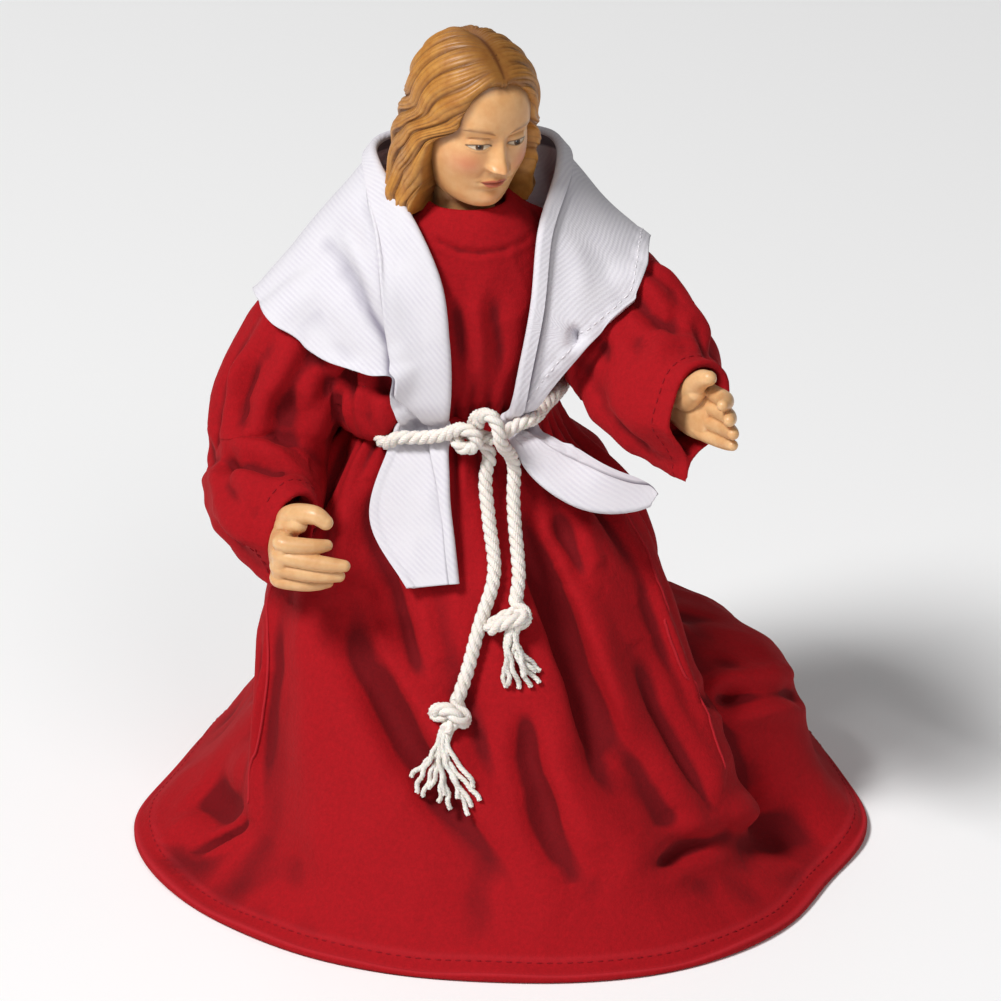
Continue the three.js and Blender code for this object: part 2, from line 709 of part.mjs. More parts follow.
// Middle of the cloth, a along its length and b from the neck edge to the shoulder edge.
function shawlMiddle(a, b) {
  const [nx, ny, nz, sx, sy, sz] = shawlPlace(a);
  const ripple = 0.5 * Math.sin(14 * a + 5 * b) * ease(0.1, 0.2, a) * (1 - ease(0.7, 0.85, a));
  return at(mix(nx, sx, b), mix(ny, sy, b), mix(nz, sz, b)).addScaledVector(
    new THREE.Vector3(nx, ny, 0).normalize(),
    ripple * k * b,
  );
}

function shawlNormal(a, b) {
  const step = 0.01;
  const along = shawlMiddle(Math.min(a + step, 1), b).sub(shawlMiddle(Math.max(a - step, 0), b));
  const across = shawlMiddle(a, b + step).sub(shawlMiddle(a, b - step));
  return along.cross(across).normalize();
}

// The cloth is pushed off the body wherever it would sink into it, and the belt presses it on.
function shawlPoint(a, b, out) {
  const normal = shawlNormal(a, b);
  const point = shawlMiddle(a, b);
  const least = shawlThickness / 2 + clearance + drapeSlack;
  const pressed = hill(lowered(point.z), beltHeight(0), 3) * (1 - ease(0.84, 0.88, a));
  for (let i = 0; i < 6; i += 1) {
    const short = least - bodyDistance(point);
    point.addScaledVector(normal, short > 0 ? short : short * pressed);
  }
  const folded =
    lapelStep *
    (1 - ease(lapelWidth - 0.03, lapelWidth + 0.03, b)) *
    ease(lapelSpan[0], lapelSpan[0] + 0.03, a) *
    (1 - ease(lapelSpan[1] - 0.06, lapelSpan[1], a));
  const away = out > 0 ? out + folded : out;
  return point.addScaledVector(normal, away);
}

function shawlSolid(thickness, beyondEdge = 0) {
  const rows = 34;
  const columns = 6;
  const breadths = Array.from({ length: columns + 1 }, (_, i) => i / columns);
  if (beyondEdge > 0) breadths.push(1 + beyondEdge);
  if (beyondEdge > 0) breadths.unshift(-beyondEdge);
  const rings = [];
  for (let j = 0; j <= rows; j += 1) {
    const outer = [];
    const inner = [];
    for (const b of breadths) {
      outer.push(shawlPoint(j / rows, b, thickness / 2));
      inner.push(shawlPoint(j / rows, b, -thickness / 2));
    }
    rings.push([...outer, ...inner.reverse()]);
  }
  return loft(rings);
}

// Belt: the rope round the waist and its front knot

const beltTilt = 2.2; // the belt rides higher on the figure's left
const beltRise = 2.4; // and higher at the back
const knotTurn = 12; // degrees from the front
const knotHalfWidth = 14; // degrees hidden by the knot on each side

const beltHeight = (turn) =>
  drawnWaist + beltTilt * Math.sin(radians(turn)) + beltRise * (0.5 - 0.5 * Math.cos(radians(turn)));

function beltPoint(turn) {
  const overShawl = 1 - ease(40, 60, Math.abs(wrapped(turn)));
  const cloth = shawlThickness + 2 * clearance + 2 * drapeSlack;
  const out = clearance + drapeSlack + ropeDiameter / 2 + overShawl * cloth;
  return trunkPoint(beltHeight(turn), turn, out);
}

function ropeTube(path, diameter, steps, longer = 0) {
  const points = path.map((p) => p.clone());
  points[0].addScaledVector(path[1].clone().sub(path[0]).normalize(), -longer);
  points.at(-1).addScaledVector(path.at(-1).clone().sub(path.at(-2)).normalize(), longer);
  const section = new THREE.Shape(
    Array.from({ length: 8 }, (_, i) =>
      new THREE.Vector2(diameter / 2, 0).rotateAround(new THREE.Vector2(), (i * Math.PI) / 4),
    ),
  );
  const extrudePath = new THREE.CatmullRomCurve3(points, false, "centripetal");
  return solidOf(new THREE.ExtrudeGeometry(section, { steps, extrudePath, bevelEnabled: false }));
}

function ball(centre, radii, turn = 0) {
  const shape = new THREE.SphereGeometry(1, 8, 6).scale(...radii).rotateY(turn);
  return solidOf(shape.translate(centre.x, centre.y, centre.z));
}

function beltSolid(grow) {
  const loop = [];
  const steps = 20;
  for (let i = 0; i <= steps; i += 1) {
    loop.push(beltPoint(knotTurn + knotHalfWidth + ((360 - 2 * knotHalfWidth) * i) / steps));
  }
  const d = ropeDiameter;
  const heart = beltPoint(knotTurn).add(new THREE.Vector3(-0.3 * d, -0.3 * d, 0));
  const shift = (x, y, z) => heart.clone().add(new THREE.Vector3(x * d, y * d, z * d));
  const wrap = [
    shift(-1.9, 0.4, 0.1),
    shift(-0.9, -0.35, 0.5),
    shift(0.1, -0.5, 0),
    shift(0.2, -0.1, -0.9),
    shift(-0.7, 0.3, -0.8),
  ];
  return joined(
    ropeTube([shift(1.6, 0.5, 0), ...loop, shift(-1.6, 0.4, 0)], d + 2 * grow, 24),
    ropeTube(wrap, 1.1 * d + 2 * grow, 7, grow),
    ball(shift(-0.1, 0.1, -0.1), [1.15 * d + grow, 0.75 * d + grow, 0.85 * d + grow]),
  );
}

// Rope ends: they hang down the front of the skirt. Places are [x, height] on it, chosen by hand.

const ropeEnds = {
  long: {
    top: [],
    hanging: [
      [-2.7, 69],
      [-2.9, 66],
      [-2.1, 60.2],
      [-1.3, 53.5],
      [-3.2, 47],
      [-5, 40],
      [-6.3, 36.2],
    ],
    tassel: { spread: 4.6, length: 11, lean: 0.28 },
  },
  short: {
    top: [
      [-2.4, -19.6, 77.3],
      [-1.8, -21.4, 78.3],
      [-0.8, -22.9, 76.8],
      [0, -22.9, 73.4],
    ],
    hanging: [
      [0.3, 68.6],
      [0.8, 64.6],
      [1.3, 60.2],
      [2, 54],
      [1.7, 49.8],
    ],
    tassel: { spread: 2.9, length: 8, lean: 0.2 },
  },
};

const tasselLift = 2.4; // how far the frayed end stands off the line of its rope

// The point at height h and side x just in front of the skirt.
function onSkirt([x, h]) {
  let low = -60;
  let high = 80;
  for (let i = 0; i < 30; i += 1) {
    const turn = (low + high) / 2;
    if (trunkPoint(h, turn).x < x * k) low = turn;
    else high = turn;
  }
  const overBelt = 1.6 * ropeDiameter * hill(h, drawnWaist, 7);
  return trunkPoint(h, low, ropeDiameter / 2 + clearance + drapeSlack + overBelt);
}

const routeOf = (end) => [...end.top.map((p) => at(...p)), ...end.hanging.map(onSkirt)];

function tasselSolid(end, grow) {
  const points = routeOf(end);
  const tip = points.at(-1);
  const down = tip.clone().sub(points.at(-2)).normalize();
  const across = sideways.clone().addScaledVector(down, -down.x).normalize();
  const out = new THREE.Vector3().crossVectors(down, across);
  if (out.y > 0) out.negate();
  const d = ropeDiameter;
  const shift = (a, b, c) =>
    tip
      .clone()
      .addScaledVector(down, a * d)
      .addScaledVector(across, b * d)
      .addScaledVector(out, c * d);
  const start = (1.5 * clearance) / d;
  const turns = [
    shift(start, 0, 0),
    shift(start + 0.3, 0, 0.05),
    shift(0.9, 0.7, 0.3),
    shift(1.5, 0.85, 0.3),
    shift(1.6, -0.1, 0.6),
    shift(1.2, -0.85, 0.35),
    shift(2, -0.8, 0.2),
  ];
  const knot = joined(
    ropeTube(turns, d + 2 * grow, 8, grow),
    ball(shift(1.4, 0, 0.15), [1.05 * d + grow, 0.75 * d + grow, 0.9 * d + grow]),
  );
  const { spread, length, lean } = end.tassel;
  const rows = 3;
  const sides = 14;
  const rings = [];
  for (let j = 0; j <= rows; j += 1) {
    const t = j / rows;
    const centre = shift(1.9, 0, 0)
      .addScaledVector(down, (length + grow) * t)
      .addScaledVector(across, lean * length * t)
      .addScaledVector(out, 0.2 * d + tasselLift * t);
    const wide = mix(0.55 * d, spread, ease(0, 1, t)) + grow;
    const thick = mix(0.5 * d, 0.42 * d, t) + grow;
    rings.push(
      Array.from({ length: sides }, (_, i) => {
        const angle = (i / sides) * 2 * Math.PI;
        const yarn = 1 + 0.13 * t * Math.cos(7 * angle);
        return centre
          .clone()
          .addScaledVector(across, Math.cos(angle) * wide * yarn)
          .addScaledVector(out, Math.sin(angle) * thick * yarn);
      }),
    );
  }
  return knot.add(loft(rings));
}

// Materials, as the photographed figure's

const finish = (color, roughness) =>
  new THREE.MeshStandardMaterial({ color, roughness, metalness: 0 });
const redCloth = finish("#8e1219", 0.9);
const whiteCloth = finish("#efecee", 0.9);
const cottonRope = finish("#f0ebe4", 0.85);
const carvedWood = finish("#d7a468", 0.6);

// Assembly: softer pieces are cut back where the pieces laid on them would sink in

function assemble() {
  const figure = new THREE.Group();
  const add = (name, solid, material) => figure.add(meshOf(name, solid, material));

  const belt = beltSolid(0);
  const beltAir = beltSolid(clearance);
  const shawl = shawlSolid(shawlThickness);
  const shawlAir = shawlSolid(shawlThickness + 2 * clearance, 0.06);
  const cords = Object.values(ropeEnds).map((end) => ({
    cord: ropeTube(routeOf(end), ropeDiameter, 12),
    cordAir: ropeTube(routeOf(end), ropeDiameter + 2 * clearance, 12),
    tassel: tasselSolid(end, 0),
    tasselAir: tasselSolid(end, 1.6 * clearance),
  }));
  const [long, short] = cords;

  const neck = neckTube(neckRadius, socketFloor + clearance);
  const head = joined(headSolidBare(), hairSolid(1), hairSolid(-1))
    .subtract(garment(2 * clearance))
    .add(neck)
    .subtract(shawlAir);

  let dress = garment(0);
  for (const sleeve of Object.values(sleeves)) dress = dress.subtract(cuffHollow(sleeve));
  dress = dress.subtract(neckTube(neckRadius + clearance, socketFloor));
  for (const air of [shawlAir, beltAir]) dress = dress.subtract(air);
  for (const { cordAir, tasselAir } of cords) dress = dress.subtract(cordAir).subtract(tasselAir);

  add("dress", dress, redCloth);
  add("shawl", shawl, whiteCloth);
  add("head", head, carvedWood);
  add("right_hand", handSolid(hands.right), carvedWood);
  add("left_hand", handSolid(hands.left), carvedWood);
  add("belt", belt, cottonRope);
  add("long_cord_end", long.cord.subtract(beltAir), cottonRope);
  add("short_cord_end", short.cord.subtract(beltAir), cottonRope);
  add("long_tassel", long.tassel, cottonRope);
  add("short_tassel", short.tassel, cottonRope);
  return figure;
}

export default assemble();
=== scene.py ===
# A kneeling presepe figure in a red cloth dress, with a white shawl, a rope belt and a carved head
# and hands. Everything is worked out in millimetres on the frame's axes and made in metres.

import math

import bpy
import numpy as np
from mathutils import Matrix, Vector
from mathutils.bvhtree import BVHTree


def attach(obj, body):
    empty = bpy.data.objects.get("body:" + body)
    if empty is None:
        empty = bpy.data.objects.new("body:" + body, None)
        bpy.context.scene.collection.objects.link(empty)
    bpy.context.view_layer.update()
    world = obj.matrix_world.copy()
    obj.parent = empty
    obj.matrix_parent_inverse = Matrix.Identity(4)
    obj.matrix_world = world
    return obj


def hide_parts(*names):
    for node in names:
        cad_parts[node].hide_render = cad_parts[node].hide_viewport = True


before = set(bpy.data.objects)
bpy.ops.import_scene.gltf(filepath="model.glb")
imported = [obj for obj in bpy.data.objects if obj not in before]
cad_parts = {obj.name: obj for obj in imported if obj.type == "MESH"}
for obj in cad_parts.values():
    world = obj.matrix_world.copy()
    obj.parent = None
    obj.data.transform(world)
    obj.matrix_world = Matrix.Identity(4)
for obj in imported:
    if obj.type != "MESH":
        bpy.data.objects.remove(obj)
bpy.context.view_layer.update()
scene = bpy.context.scene


# The place where the figure stands: a plain pale floor, soft studio lights and the camera,
# which looks down on it from the front at the photograph's angle.
MM = 0.001
FLOOR_REACH = 6
LOOK_DOWN = math.radians(24)


def linear(code):
    """A shader colour from its hexadecimal code."""
    parts = [int(code[i : i + 2], 16) / 255 for i in (1, 3, 5)]
    return [p / 12.92 if p <= 0.04045 else ((p + 0.055) / 1.055) ** 2.4 for p in parts] + [1]


class Finish:
    """A material being made up: its surface shader and the nodes that feed it."""

    def __init__(self, name, colour, roughness, **settings):
        self.material = bpy.data.materials.new(name)
        self.material.use_nodes = True
        self.tree = self.material.node_tree
        self.surface = self.tree.nodes["Principled BSDF"]
        self.place = self.add("ShaderNodeTexCoord").outputs["Object"]
        self.set(Base_Color=colour, Roughness=roughness, **settings)

    def wire(self, socket, value):
        """Gives a socket a value, a colour's code or another node's output."""
        if isinstance(value, bpy.types.NodeSocket):
            self.tree.links.new(value, socket)
        else:
            socket.default_value = linear(value) if isinstance(value, str) else value

    def set(self, **settings):
        for label, value in settings.items():
            self.wire(self.surface.inputs[label.replace("_", " ")], value)

    def add(self, kind, **inputs):
        node = self.tree.nodes.new(kind)
        for label, value in inputs.items():
            self.wire(node.inputs[label.replace("_", " ")], value)
        return node

    def noise(self, scale, detail=3, rough=0.6, stretch=(1, 1, 1)):
        """Soft random patches; stretch squeezes them along the object's axes."""
        place = self.add("ShaderNodeMapping", Vector=self.place, Scale=stretch).outputs[0]
        return self.add(
            "ShaderNodeTexNoise", Vector=place, Scale=scale, Detail=detail, Roughness=rough
        ).outputs["Fac"]

    def ranged(self, value, low, high):
        """The value stretched so that low becomes 0 and high becomes 1."""
        node = self.add("ShaderNodeMapRange", Value=value, From_Min=low, From_Max=high)
        return node.outputs["Result"]

    def kept(self, name):
        """A number kept with each vertex of the piece."""
        node = self.add("ShaderNodeAttribute")
        node.attribute_name = name
        return node.outputs["Fac"]

    def paint(self, tone, *coats):
        """Colours the surface: a first tone, then coats as (colour, where it lies, how strong)."""
        for colour, share, strength in coats:
            if strength != 1:
                times = self.tree.nodes.new("ShaderNodeMath")
                times.operation = "MULTIPLY"
                self.wire(times.inputs[0], share)
                self.wire(times.inputs[1], strength)
                share = times.outputs[0]
            node = self.tree.nodes.new("ShaderNodeMix")
            node.data_type = "RGBA"
            for label, value in (("A", tone), ("B", colour), ("Factor", share)):
                self.wire(node.inputs[label], value)
            tone = node.outputs["Result"]
        self.set(Base_Color=tone)

    def relief(self, *layers):
        """Bumps laid over each other: (height, strength, depth in metres)."""
        normal = None
        for height, strength, depth in layers:
            node = self.add("ShaderNodeBump", Height=height, Strength=strength, Distance=depth)
            if normal:
                self.wire(node.inputs["Normal"], normal)
            normal = node.outputs["Normal"]
        self.set(Normal=normal)


def put(name, data, place=(0, 0, 0), aim=None):
    """A new object in the scene, turned towards a place if one is given."""
    thing = bpy.data.objects.new(name, data)
    scene.collection.objects.link(thing)
    thing.location = place
    if aim is not None:
        thing.rotation_euler = (Vector(aim) - thing.location).to_track_quat("-Z", "Y").to_euler()
    return thing


floor_mesh = bpy.data.meshes.new("studio_floor")
corners = [(x * FLOOR_REACH, y * FLOOR_REACH, 0) for x, y in ((-1, -1), (1, -1), (1, 1), (-1, 1))]
floor_mesh.from_pydata(corners, [], [(0, 1, 2, 3)])
floor_mesh.materials.append(Finish("studio_floor", "#fbfbfb", 0.9, Specular_IOR_Level=0.1).material)
put("studio_floor", floor_mesh)

walls = bpy.data.worlds.new("studio_walls")
walls.use_nodes = True
glow = walls.node_tree.nodes["Background"].inputs
glow["Color"].default_value = (1, 1, 1, 1)
glow["Strength"].default_value = 0.12
scene.world = walls
scene.view_settings.view_transform = "Standard"

# Name, place in metres, size in metres, watts.
for name, place, size, power in [
    ("key_light", (-1.05, -0.95, 1.8), 0.55, 48),
    ("fill_light", (0.4, -1.1, 1.1), 0.6, 4),
    ("rim_light", (-0.3, 0.9, 0.7), 0.6, 0.8),
]:
    lamp = bpy.data.lights.new(name, "AREA")
    lamp.size, lamp.energy = size, power
    put(name, lamp, place, (0, 0, 0.06))

lens = bpy.data.cameras.new("camera")
lens.sensor_width, lens.lens, lens.clip_start = 36, 214.4, 0.02
aim = Vector((0, 0, 0.0538))
away = Vector((0, -math.cos(LOOK_DOWN), math.sin(LOOK_DOWN))) * 0.9
scene.camera = put("camera", lens, aim + away, aim)


# The dress's skirt: brushed red cotton, gathered at the belt and spread over the bent legs, with
# a turned and stitched hem on the ground. It is one closed shell, lined underneath.
def through(rows):
    """A smooth curve through rows of [place, value, value...]."""
    rows = np.array(rows, float)
    place, values = rows[:, 0], rows[:, 1:]
    slope = np.empty_like(values)
    slope[1:-1] = (values[2:] - values[:-2]) / (place[2:] - place[:-2])[:, None]
    slope[0] = (values[1] - values[0]) / (place[1] - place[0])
    slope[-1] = (values[-1] - values[-2]) / (place[-1] - place[-2])

    def at(x):
        x = np.clip(np.asarray(x, float), place[0], place[-1])
        i = np.clip(np.searchsorted(place, x) - 1, 0, len(place) - 2)
        span = (place[i + 1] - place[i])[..., None]
        t = (x - place[i])[..., None] / span
        start = (2 * t**3 - 3 * t**2 + 1) * values[i] + (t**3 - 2 * t**2 + t) * slope[i] * span
        end = (3 * t**2 - 2 * t**3) * values[i + 1] + (t**3 - t**2) * slope[i + 1] * span
        return start + end

    return at


def ease(start, end, x):
    """0 before start, 1 after end, and smooth between them."""
    t = np.clip((np.asarray(x, float) - start) / (end - start), 0, 1)
    return t * t * (3 - 2 * t)


def between(x, start, full, level, end):
    """Rises from 0 at start to 1 at full, and falls back from level to end."""
    return ease(start, full, x) * (1 - ease(level, end, x))


def hill(x, middle, width):
    """1 at the middle and soft down to 0 on both sides."""
    return np.exp(-(((np.asarray(x, float) - middle) / width) ** 2))


def mix(a, b, t):
    """a at 0, b at 1, and in between."""
    return a + (b - a) * t


def unit(v):
    """Vectors made one long."""
    v = np.asarray(v, float)
    return v / np.maximum(np.linalg.norm(v, axis=-1, keepdims=True), 1e-9)


def oval_radius(sides, centre, angle, squareness):
    """Radius of an oval with its own reach to the right, left, front and back."""
    across, along = np.cos(angle), np.sin(angle)
    wide = np.where(across >= 0, sides[..., 0] - centre[..., 0], centre[..., 0] - sides[..., 1])
    deep = np.where(along >= 0, sides[..., 3] - centre[..., 1], centre[..., 1] - sides[..., 2])
    total = (np.abs(across) / wide) ** squareness + (np.abs(along) / deep) ** squareness
    return total ** (-1 / squareness)


WAIST = 72.5
COLLAR = 105.5
FLARE_HEIGHT = 10
HIGHEST_CALF = 45
HEM_REACH = np.array([56.4, -56.4, -52, 52])
# Height, and there the middle of the body; then its reach to the left, right, front and back.
trunk_axis = through([
    [0, 0, 0], [29, -3.5, -3], [41, -5, -3], [56, -5.8, -2],
    [WAIST, -6, -1.5], [85, -5.8, -3], [99, -5, -5], [COLLAR, -5, -6.5],
])
body_reach = through([
    [0, 45, -43, -49.5, 29], [9, 38.5, -39, -46.5, 27], [19, 34, -37, -42, 25],
    [29, 29.5, -36, -37, 23], [41, 25, -34.5, -30.5, 20.5], [56, 19.2, -30, -22.5, 17.5],
    [66, 10.4, -25, -17, 14], [WAIST, 7.8, -21, -14.5, 11.5], [77, 8.2, -23.2, -16.5, 12],
    [85, 9.6, -24, -17.5, 11.5], [92, 10, -22, -17.5, 9.5], [98, 7.5, -18, -16.5, 6.5],
    [103, 4.5, -14, -15, 3.5], [COLLAR, 1.8, -11.4, -13.2, 0.6],
])
calf_reach = through([
    [0, 54, -53, -20, 50], [9, 50, -47.5, -18, 47], [15, 48.3, -43, -16, 44.5],
    [21, 46, -37, -14, 41.5], [26, 41.5, -30.5, -12, 37], [30, 29, -25.5, -10, 32.5],
    [34, 17, -20, -9, 26], [39, 6, -14, -8, 17], [HIGHEST_CALF, -1, -9, -5, 6],
])
# The deep folds: top and bottom height, degrees from the front there, size, and width there.
DEEP_FOLDS = [
    [30, -6, 24, 28, 2.4, 26, 26],
    [30, -6, -52, -50, -1, 20, 20],
    [60, 2, 76, 60, 3.2, 9, 8],
    [48, 3, 96, 76, -4.2, 9, 8],
    [52, 3, -82, -62, 2.4, 9, 8],
    [40, 3, -100, -80, -3.4, 9, 8],
    [66, 6, 30, 42, -2.4, 8, 7],
    [64, 8, 46, 52, 1.6, 9, 8],
    [62, 4, -44, 2, -2.2, 9, 7],
    [58, 6, -20, 22, -1.8, 8, 7],
    [64, 8, 8, 30, 1.4, 8, 7],
    [62, 6, -62, -34, 1.3, 10, 9],
    [62, 8, 150, 140, -2.2, 10, 9],
    [62, 8, 180, 180, -2, 10, 9],
    [62, 8, -150, -138, -2.2, 10, 9],
    [34, 2, 122, 118, -1.8, 9, 8],
    [34, 2, -124, -116, -1.8, 9, 8],
    [26, -8, -108, -108, -3.4, 15, 15],
    [24, -8, 104, 104, -1.6, 12, 12],
    [16, -8, 66, 66, -2.4, 13, 13],
]
GATHERS = 14
GATHER_SIZE = 0.7


def trunk_radius(h, turn):
    """Outer radius of the dress's body at height h, turn degrees from the front."""
    angle = np.radians(turn - 90)
    centre = trunk_axis(h)
    radius = oval_radius(body_reach(h), centre, angle, 2.35)
    calf = oval_radius(calf_reach(h), centre, angle, 2.6)
    share = np.clip(0.5 + 0.5 * (radius - calf) / 4, 0, 1)
    both = mix(calf, radius, share) + 4 * share * (1 - share)
    radius = np.where(h < HIGHEST_CALF, both, radius)
    flare = np.clip(1 - h / FLARE_HEIGHT, 0, 1) ** 2.2
    radius = mix(radius, oval_radius(HEM_REACH, centre, angle, 2.05), flare)
    for top, bottom, turn_top, turn_bottom, size, width_top, width_bottom in DEEP_FOLDS:
        t = (top - h) / (top - bottom)
        run = np.clip(t, 0, 1)
        off = (turn - mix(turn_top, turn_bottom, run) + 180) % 360 - 180
        strength = size * between(t, 0, 0.35, 0.8, 1.05)
        radius = radius + strength * hill(off, 0, mix(width_top, width_bottom, run))
    near_belt = hill(h, WAIST, 11) * (1 - hill(h, WAIST, 4))
    return radius + GATHER_SIZE * near_belt * np.cos(np.radians(turn) * GATHERS)


def trunk_point(h, turn, out=0.0):
    """Points on the dress's body, out millimetres off it."""
    h, turn = np.broadcast_arrays(np.asarray(h, float), np.asarray(turn, float))
    angle = np.radians(turn - 90)
    axis = trunk_axis(h)
    radius = trunk_radius(h, turn) + out
    x = axis[..., 0] + np.cos(angle) * radius
    y = axis[..., 1] + np.sin(angle) * radius
    return np.stack([x, y, h], -1)


random = np.random.default_rng(11)
LATTICE = np.concatenate([random.permutation(256)] * 3)
SLOPES = unit(random.normal(size=(256, 3)))


def swell(points, length):
    """Smooth random hills and hollows from -1 to 1, each about length millimetres across."""
    p = np.asarray(points, float) / np.asarray(length, float)
    cell = np.floor(p).astype(int)
    f = p - cell
    blend = f**3 * (f * (f * 6 - 15) + 10)
    cell &= 255
    total = 0
    for corner in np.ndindex(2, 2, 2):
        at = cell + corner
        slope = SLOPES[LATTICE[LATTICE[LATTICE[at[..., 0]] + at[..., 1]] + at[..., 2]]]
        near = np.prod(np.where(corner, blend, 1 - blend), -1)
        total = total + near * np.sum(slope * (f - corner), -1)
    return total * 1.7


def far_along(line):
    """How far along a line each of its points is."""
    return np.concatenate([[0], np.cumsum(np.linalg.norm(np.diff(line, axis=0), axis=1))])


def drawn_at(stops, far, line):
    """The places at some distances along a line whose own points lie at the distances far."""
    return np.stack([np.interp(stops, far, line[:, k]) for k in range(3)], -1)


def distance_to(points, line):
    """How far each point is from a line drawn through places, and how far along it that is, 0 to 1."""
    line = np.asarray(line, float)
    far = far_along(line)
    nearest = np.full(points.shape[:-1], 1e9)
    along = np.zeros(points.shape[:-1])
    for i, (a, b) in enumerate(zip(line[:-1], line[1:])):
        t = np.clip((points - a) @ (b - a) / (far[i + 1] - far[i]) ** 2, 0, 1)
        apart = np.linalg.norm(points - (a + t[..., None] * (b - a)), axis=-1)
        closer = apart < nearest
        nearest = np.where(closer, apart, nearest)
        along = np.where(closer, mix(far[i], far[i + 1], t) / far[-1], along)
    return nearest, along


def creased(points, normals, creases):
    """Points moved along their normals by creases: [size, width, line], with soft shoulders."""
    lift = np.zeros(points.shape[:-1])
    for size, width, line in creases:
        apart, along = distance_to(points, line)
        taper = between(along, -0.02, 0.3, 0.5, 1.02)
        taper = np.maximum(taper, 0.12 * (along > 0) * (along < 1))
        shape = hill(apart, 0, width) - 0.38 * hill(apart, 2.1 * width, 1.1 * width)
        lift += size * taper * shape
    return points + normals * lift[..., None]


def grid_normals(points, around=True):
    """Outward normals of a grid of points: rows up, columns round."""
    if around:
        side = np.roll(points, -1, 1) - np.roll(points, 1, 1)
    else:
        side = np.gradient(points, axis=1)
    return unit(np.cross(side, np.gradient(points, axis=0)))


def grid_faces(rows, columns, around):
    """Four-sided faces over a grid of rows and columns."""
    wide = columns if around else columns - 1
    i, j = np.meshgrid(np.arange(rows - 1), np.arange(wide), indexing="ij")
    j2 = (j + 1) % columns
    quads = [i * columns + j, i * columns + j2, (i + 1) * columns + j2, (i + 1) * columns + j]
    return np.stack(quads, -1).reshape(-1, 4).tolist()


def closed(rings, ends=None):
    """Points and faces of a solid skinned over rings, closed to a point at each end."""
    rings = np.array(rings)
    count, sides = rings.shape[:2]
    if ends is None:
        ends = [rings[0].mean(0), rings[-1].mean(0)]
    points = np.concatenate([rings.reshape(-1, 3), ends])
    faces = grid_faces(count, sides, True)
    low, high, last = count * sides, count * sides + 1, (count - 1) * sides
    for i in range(sides):
        j = (i + 1) % sides
        faces += [(low, j, i), (high, last + i, last + j)]
    return points, faces


def piece_of(name, points, faces, finish):
    """A new smooth piece from places in millimetres."""
    mesh = bpy.data.meshes.new(name)
    mesh.from_pydata((np.asarray(points, float).reshape(-1, 3) * MM).tolist(), [], faces)
    mesh.validate()
    mesh.materials.append(finish)
    mesh.shade_smooth()
    return put(name, mesh)


def numbers_of(rows, label):
    """Three numbers for each row of a mesh's vertices or normals."""
    flat = np.zeros(len(rows) * 3, np.float32)
    rows.foreach_get(label, flat)
    return flat.reshape(-1, 3).astype(float)


def places_of(piece):
    """The places of a piece's vertices, in millimetres."""
    return numbers_of(piece.data.vertices, "co") / MM


def move_to(piece, points):
    piece.data.vertices.foreach_set("co", (points * MM).astype(np.float32).ravel())
    piece.data.update()


red = Finish("red_cotton", "#a5101a", 0.88, Specular_IOR_Level=0.18, Sheen_Weight=0.14,
             Sheen_Roughness=0.45, Sheen_Tint="#d83c3c")
red.paint(
    "#900a13",
    ("#a90c17", red.ranged(red.noise(1500, 5, 0.75), 0.25, 0.75), 1),
    # painted shade: the red darkens in the hollows of its folds
    ("#3d050b", red.ranged(red.kept("hollow"), 0.02, 0.34), 0.62),
    # painted highlight: a paler red on the hem's edge and along the seams
    ("#c8323c", red.kept("painted_highlight"), 0.4),
)
red.relief((red.noise(4200), 0.35, 0.00012), (red.noise(1300), 0.3, 0.0003))


def smoothed(piece, spots, shares):
    """Places moved, round after round, by a share of the way to the mean of their neighbours."""
    edges = np.zeros(len(piece.data.edges) * 2, np.int32)
    piece.data.edges.foreach_get("vertices", edges)
    edges = edges.reshape(-1, 2)
    here, there = np.concatenate([edges, edges[:, ::-1]]).T
    number = np.bincount(here, minlength=len(spots))[:, None]
    for share in shares:
        total = [np.bincount(here, spots[there, k], len(spots)) for k in range(3)]
        spots = mix(spots, np.stack(total, 1) / number, share)
    return spots


def outward(piece):
    """The outward direction at each vertex of a piece."""
    return numbers_of(piece.data.vertex_normals, "vector")


def hollows(piece, rounds):
    """How far each vertex lies below its smoothed surroundings, in millimetres."""
    spots = places_of(piece)
    return ((smoothed(piece, spots, [1] * rounds) - spots) * outward(piece)).sum(1)


def keep(piece, name, values):
    """Keeps a number with each vertex of a piece, for its finish."""
    layer = piece.data.attributes.new(name, "FLOAT", "POINT")
    layer.data.foreach_set("value", np.asarray(values, np.float32))


def stands_for(piece, node):
    """Lets a piece ride on the figure in place of one of its plain solids."""
    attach(piece, "root")
    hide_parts(node)


SKIRT_ROWS = 205
SKIRT_COLUMNS = 380
HEM_LIFT = 0.95  # the hem's rounded edge stands this high
HEM_WIDTH = 3.3
HEM_STITCH = HEM_WIDTH - 0.6  # the thread runs this far from the edge
HEM_PULLS = 150
LINING_HEIGHT = 0.3
CREASE_DEPTH = 1.45  # the table's creases are deepened by this
heights = np.linspace(0, 1, 400) ** 1.8 * (WAIST + 1.2)
profile = trunk_point(heights[:, None], np.array([-60, 0, 60, 120, 180, -120])).mean(1)
travelled = far_along(profile)
levels = np.interp(np.linspace(0, travelled[-1], SKIRT_ROWS), travelled, heights)
turns = np.arange(SKIRT_COLUMNS) * 360 / SKIRT_COLUMNS
skirt = trunk_point(levels[:, None], turns)
out = grid_normals(skirt)

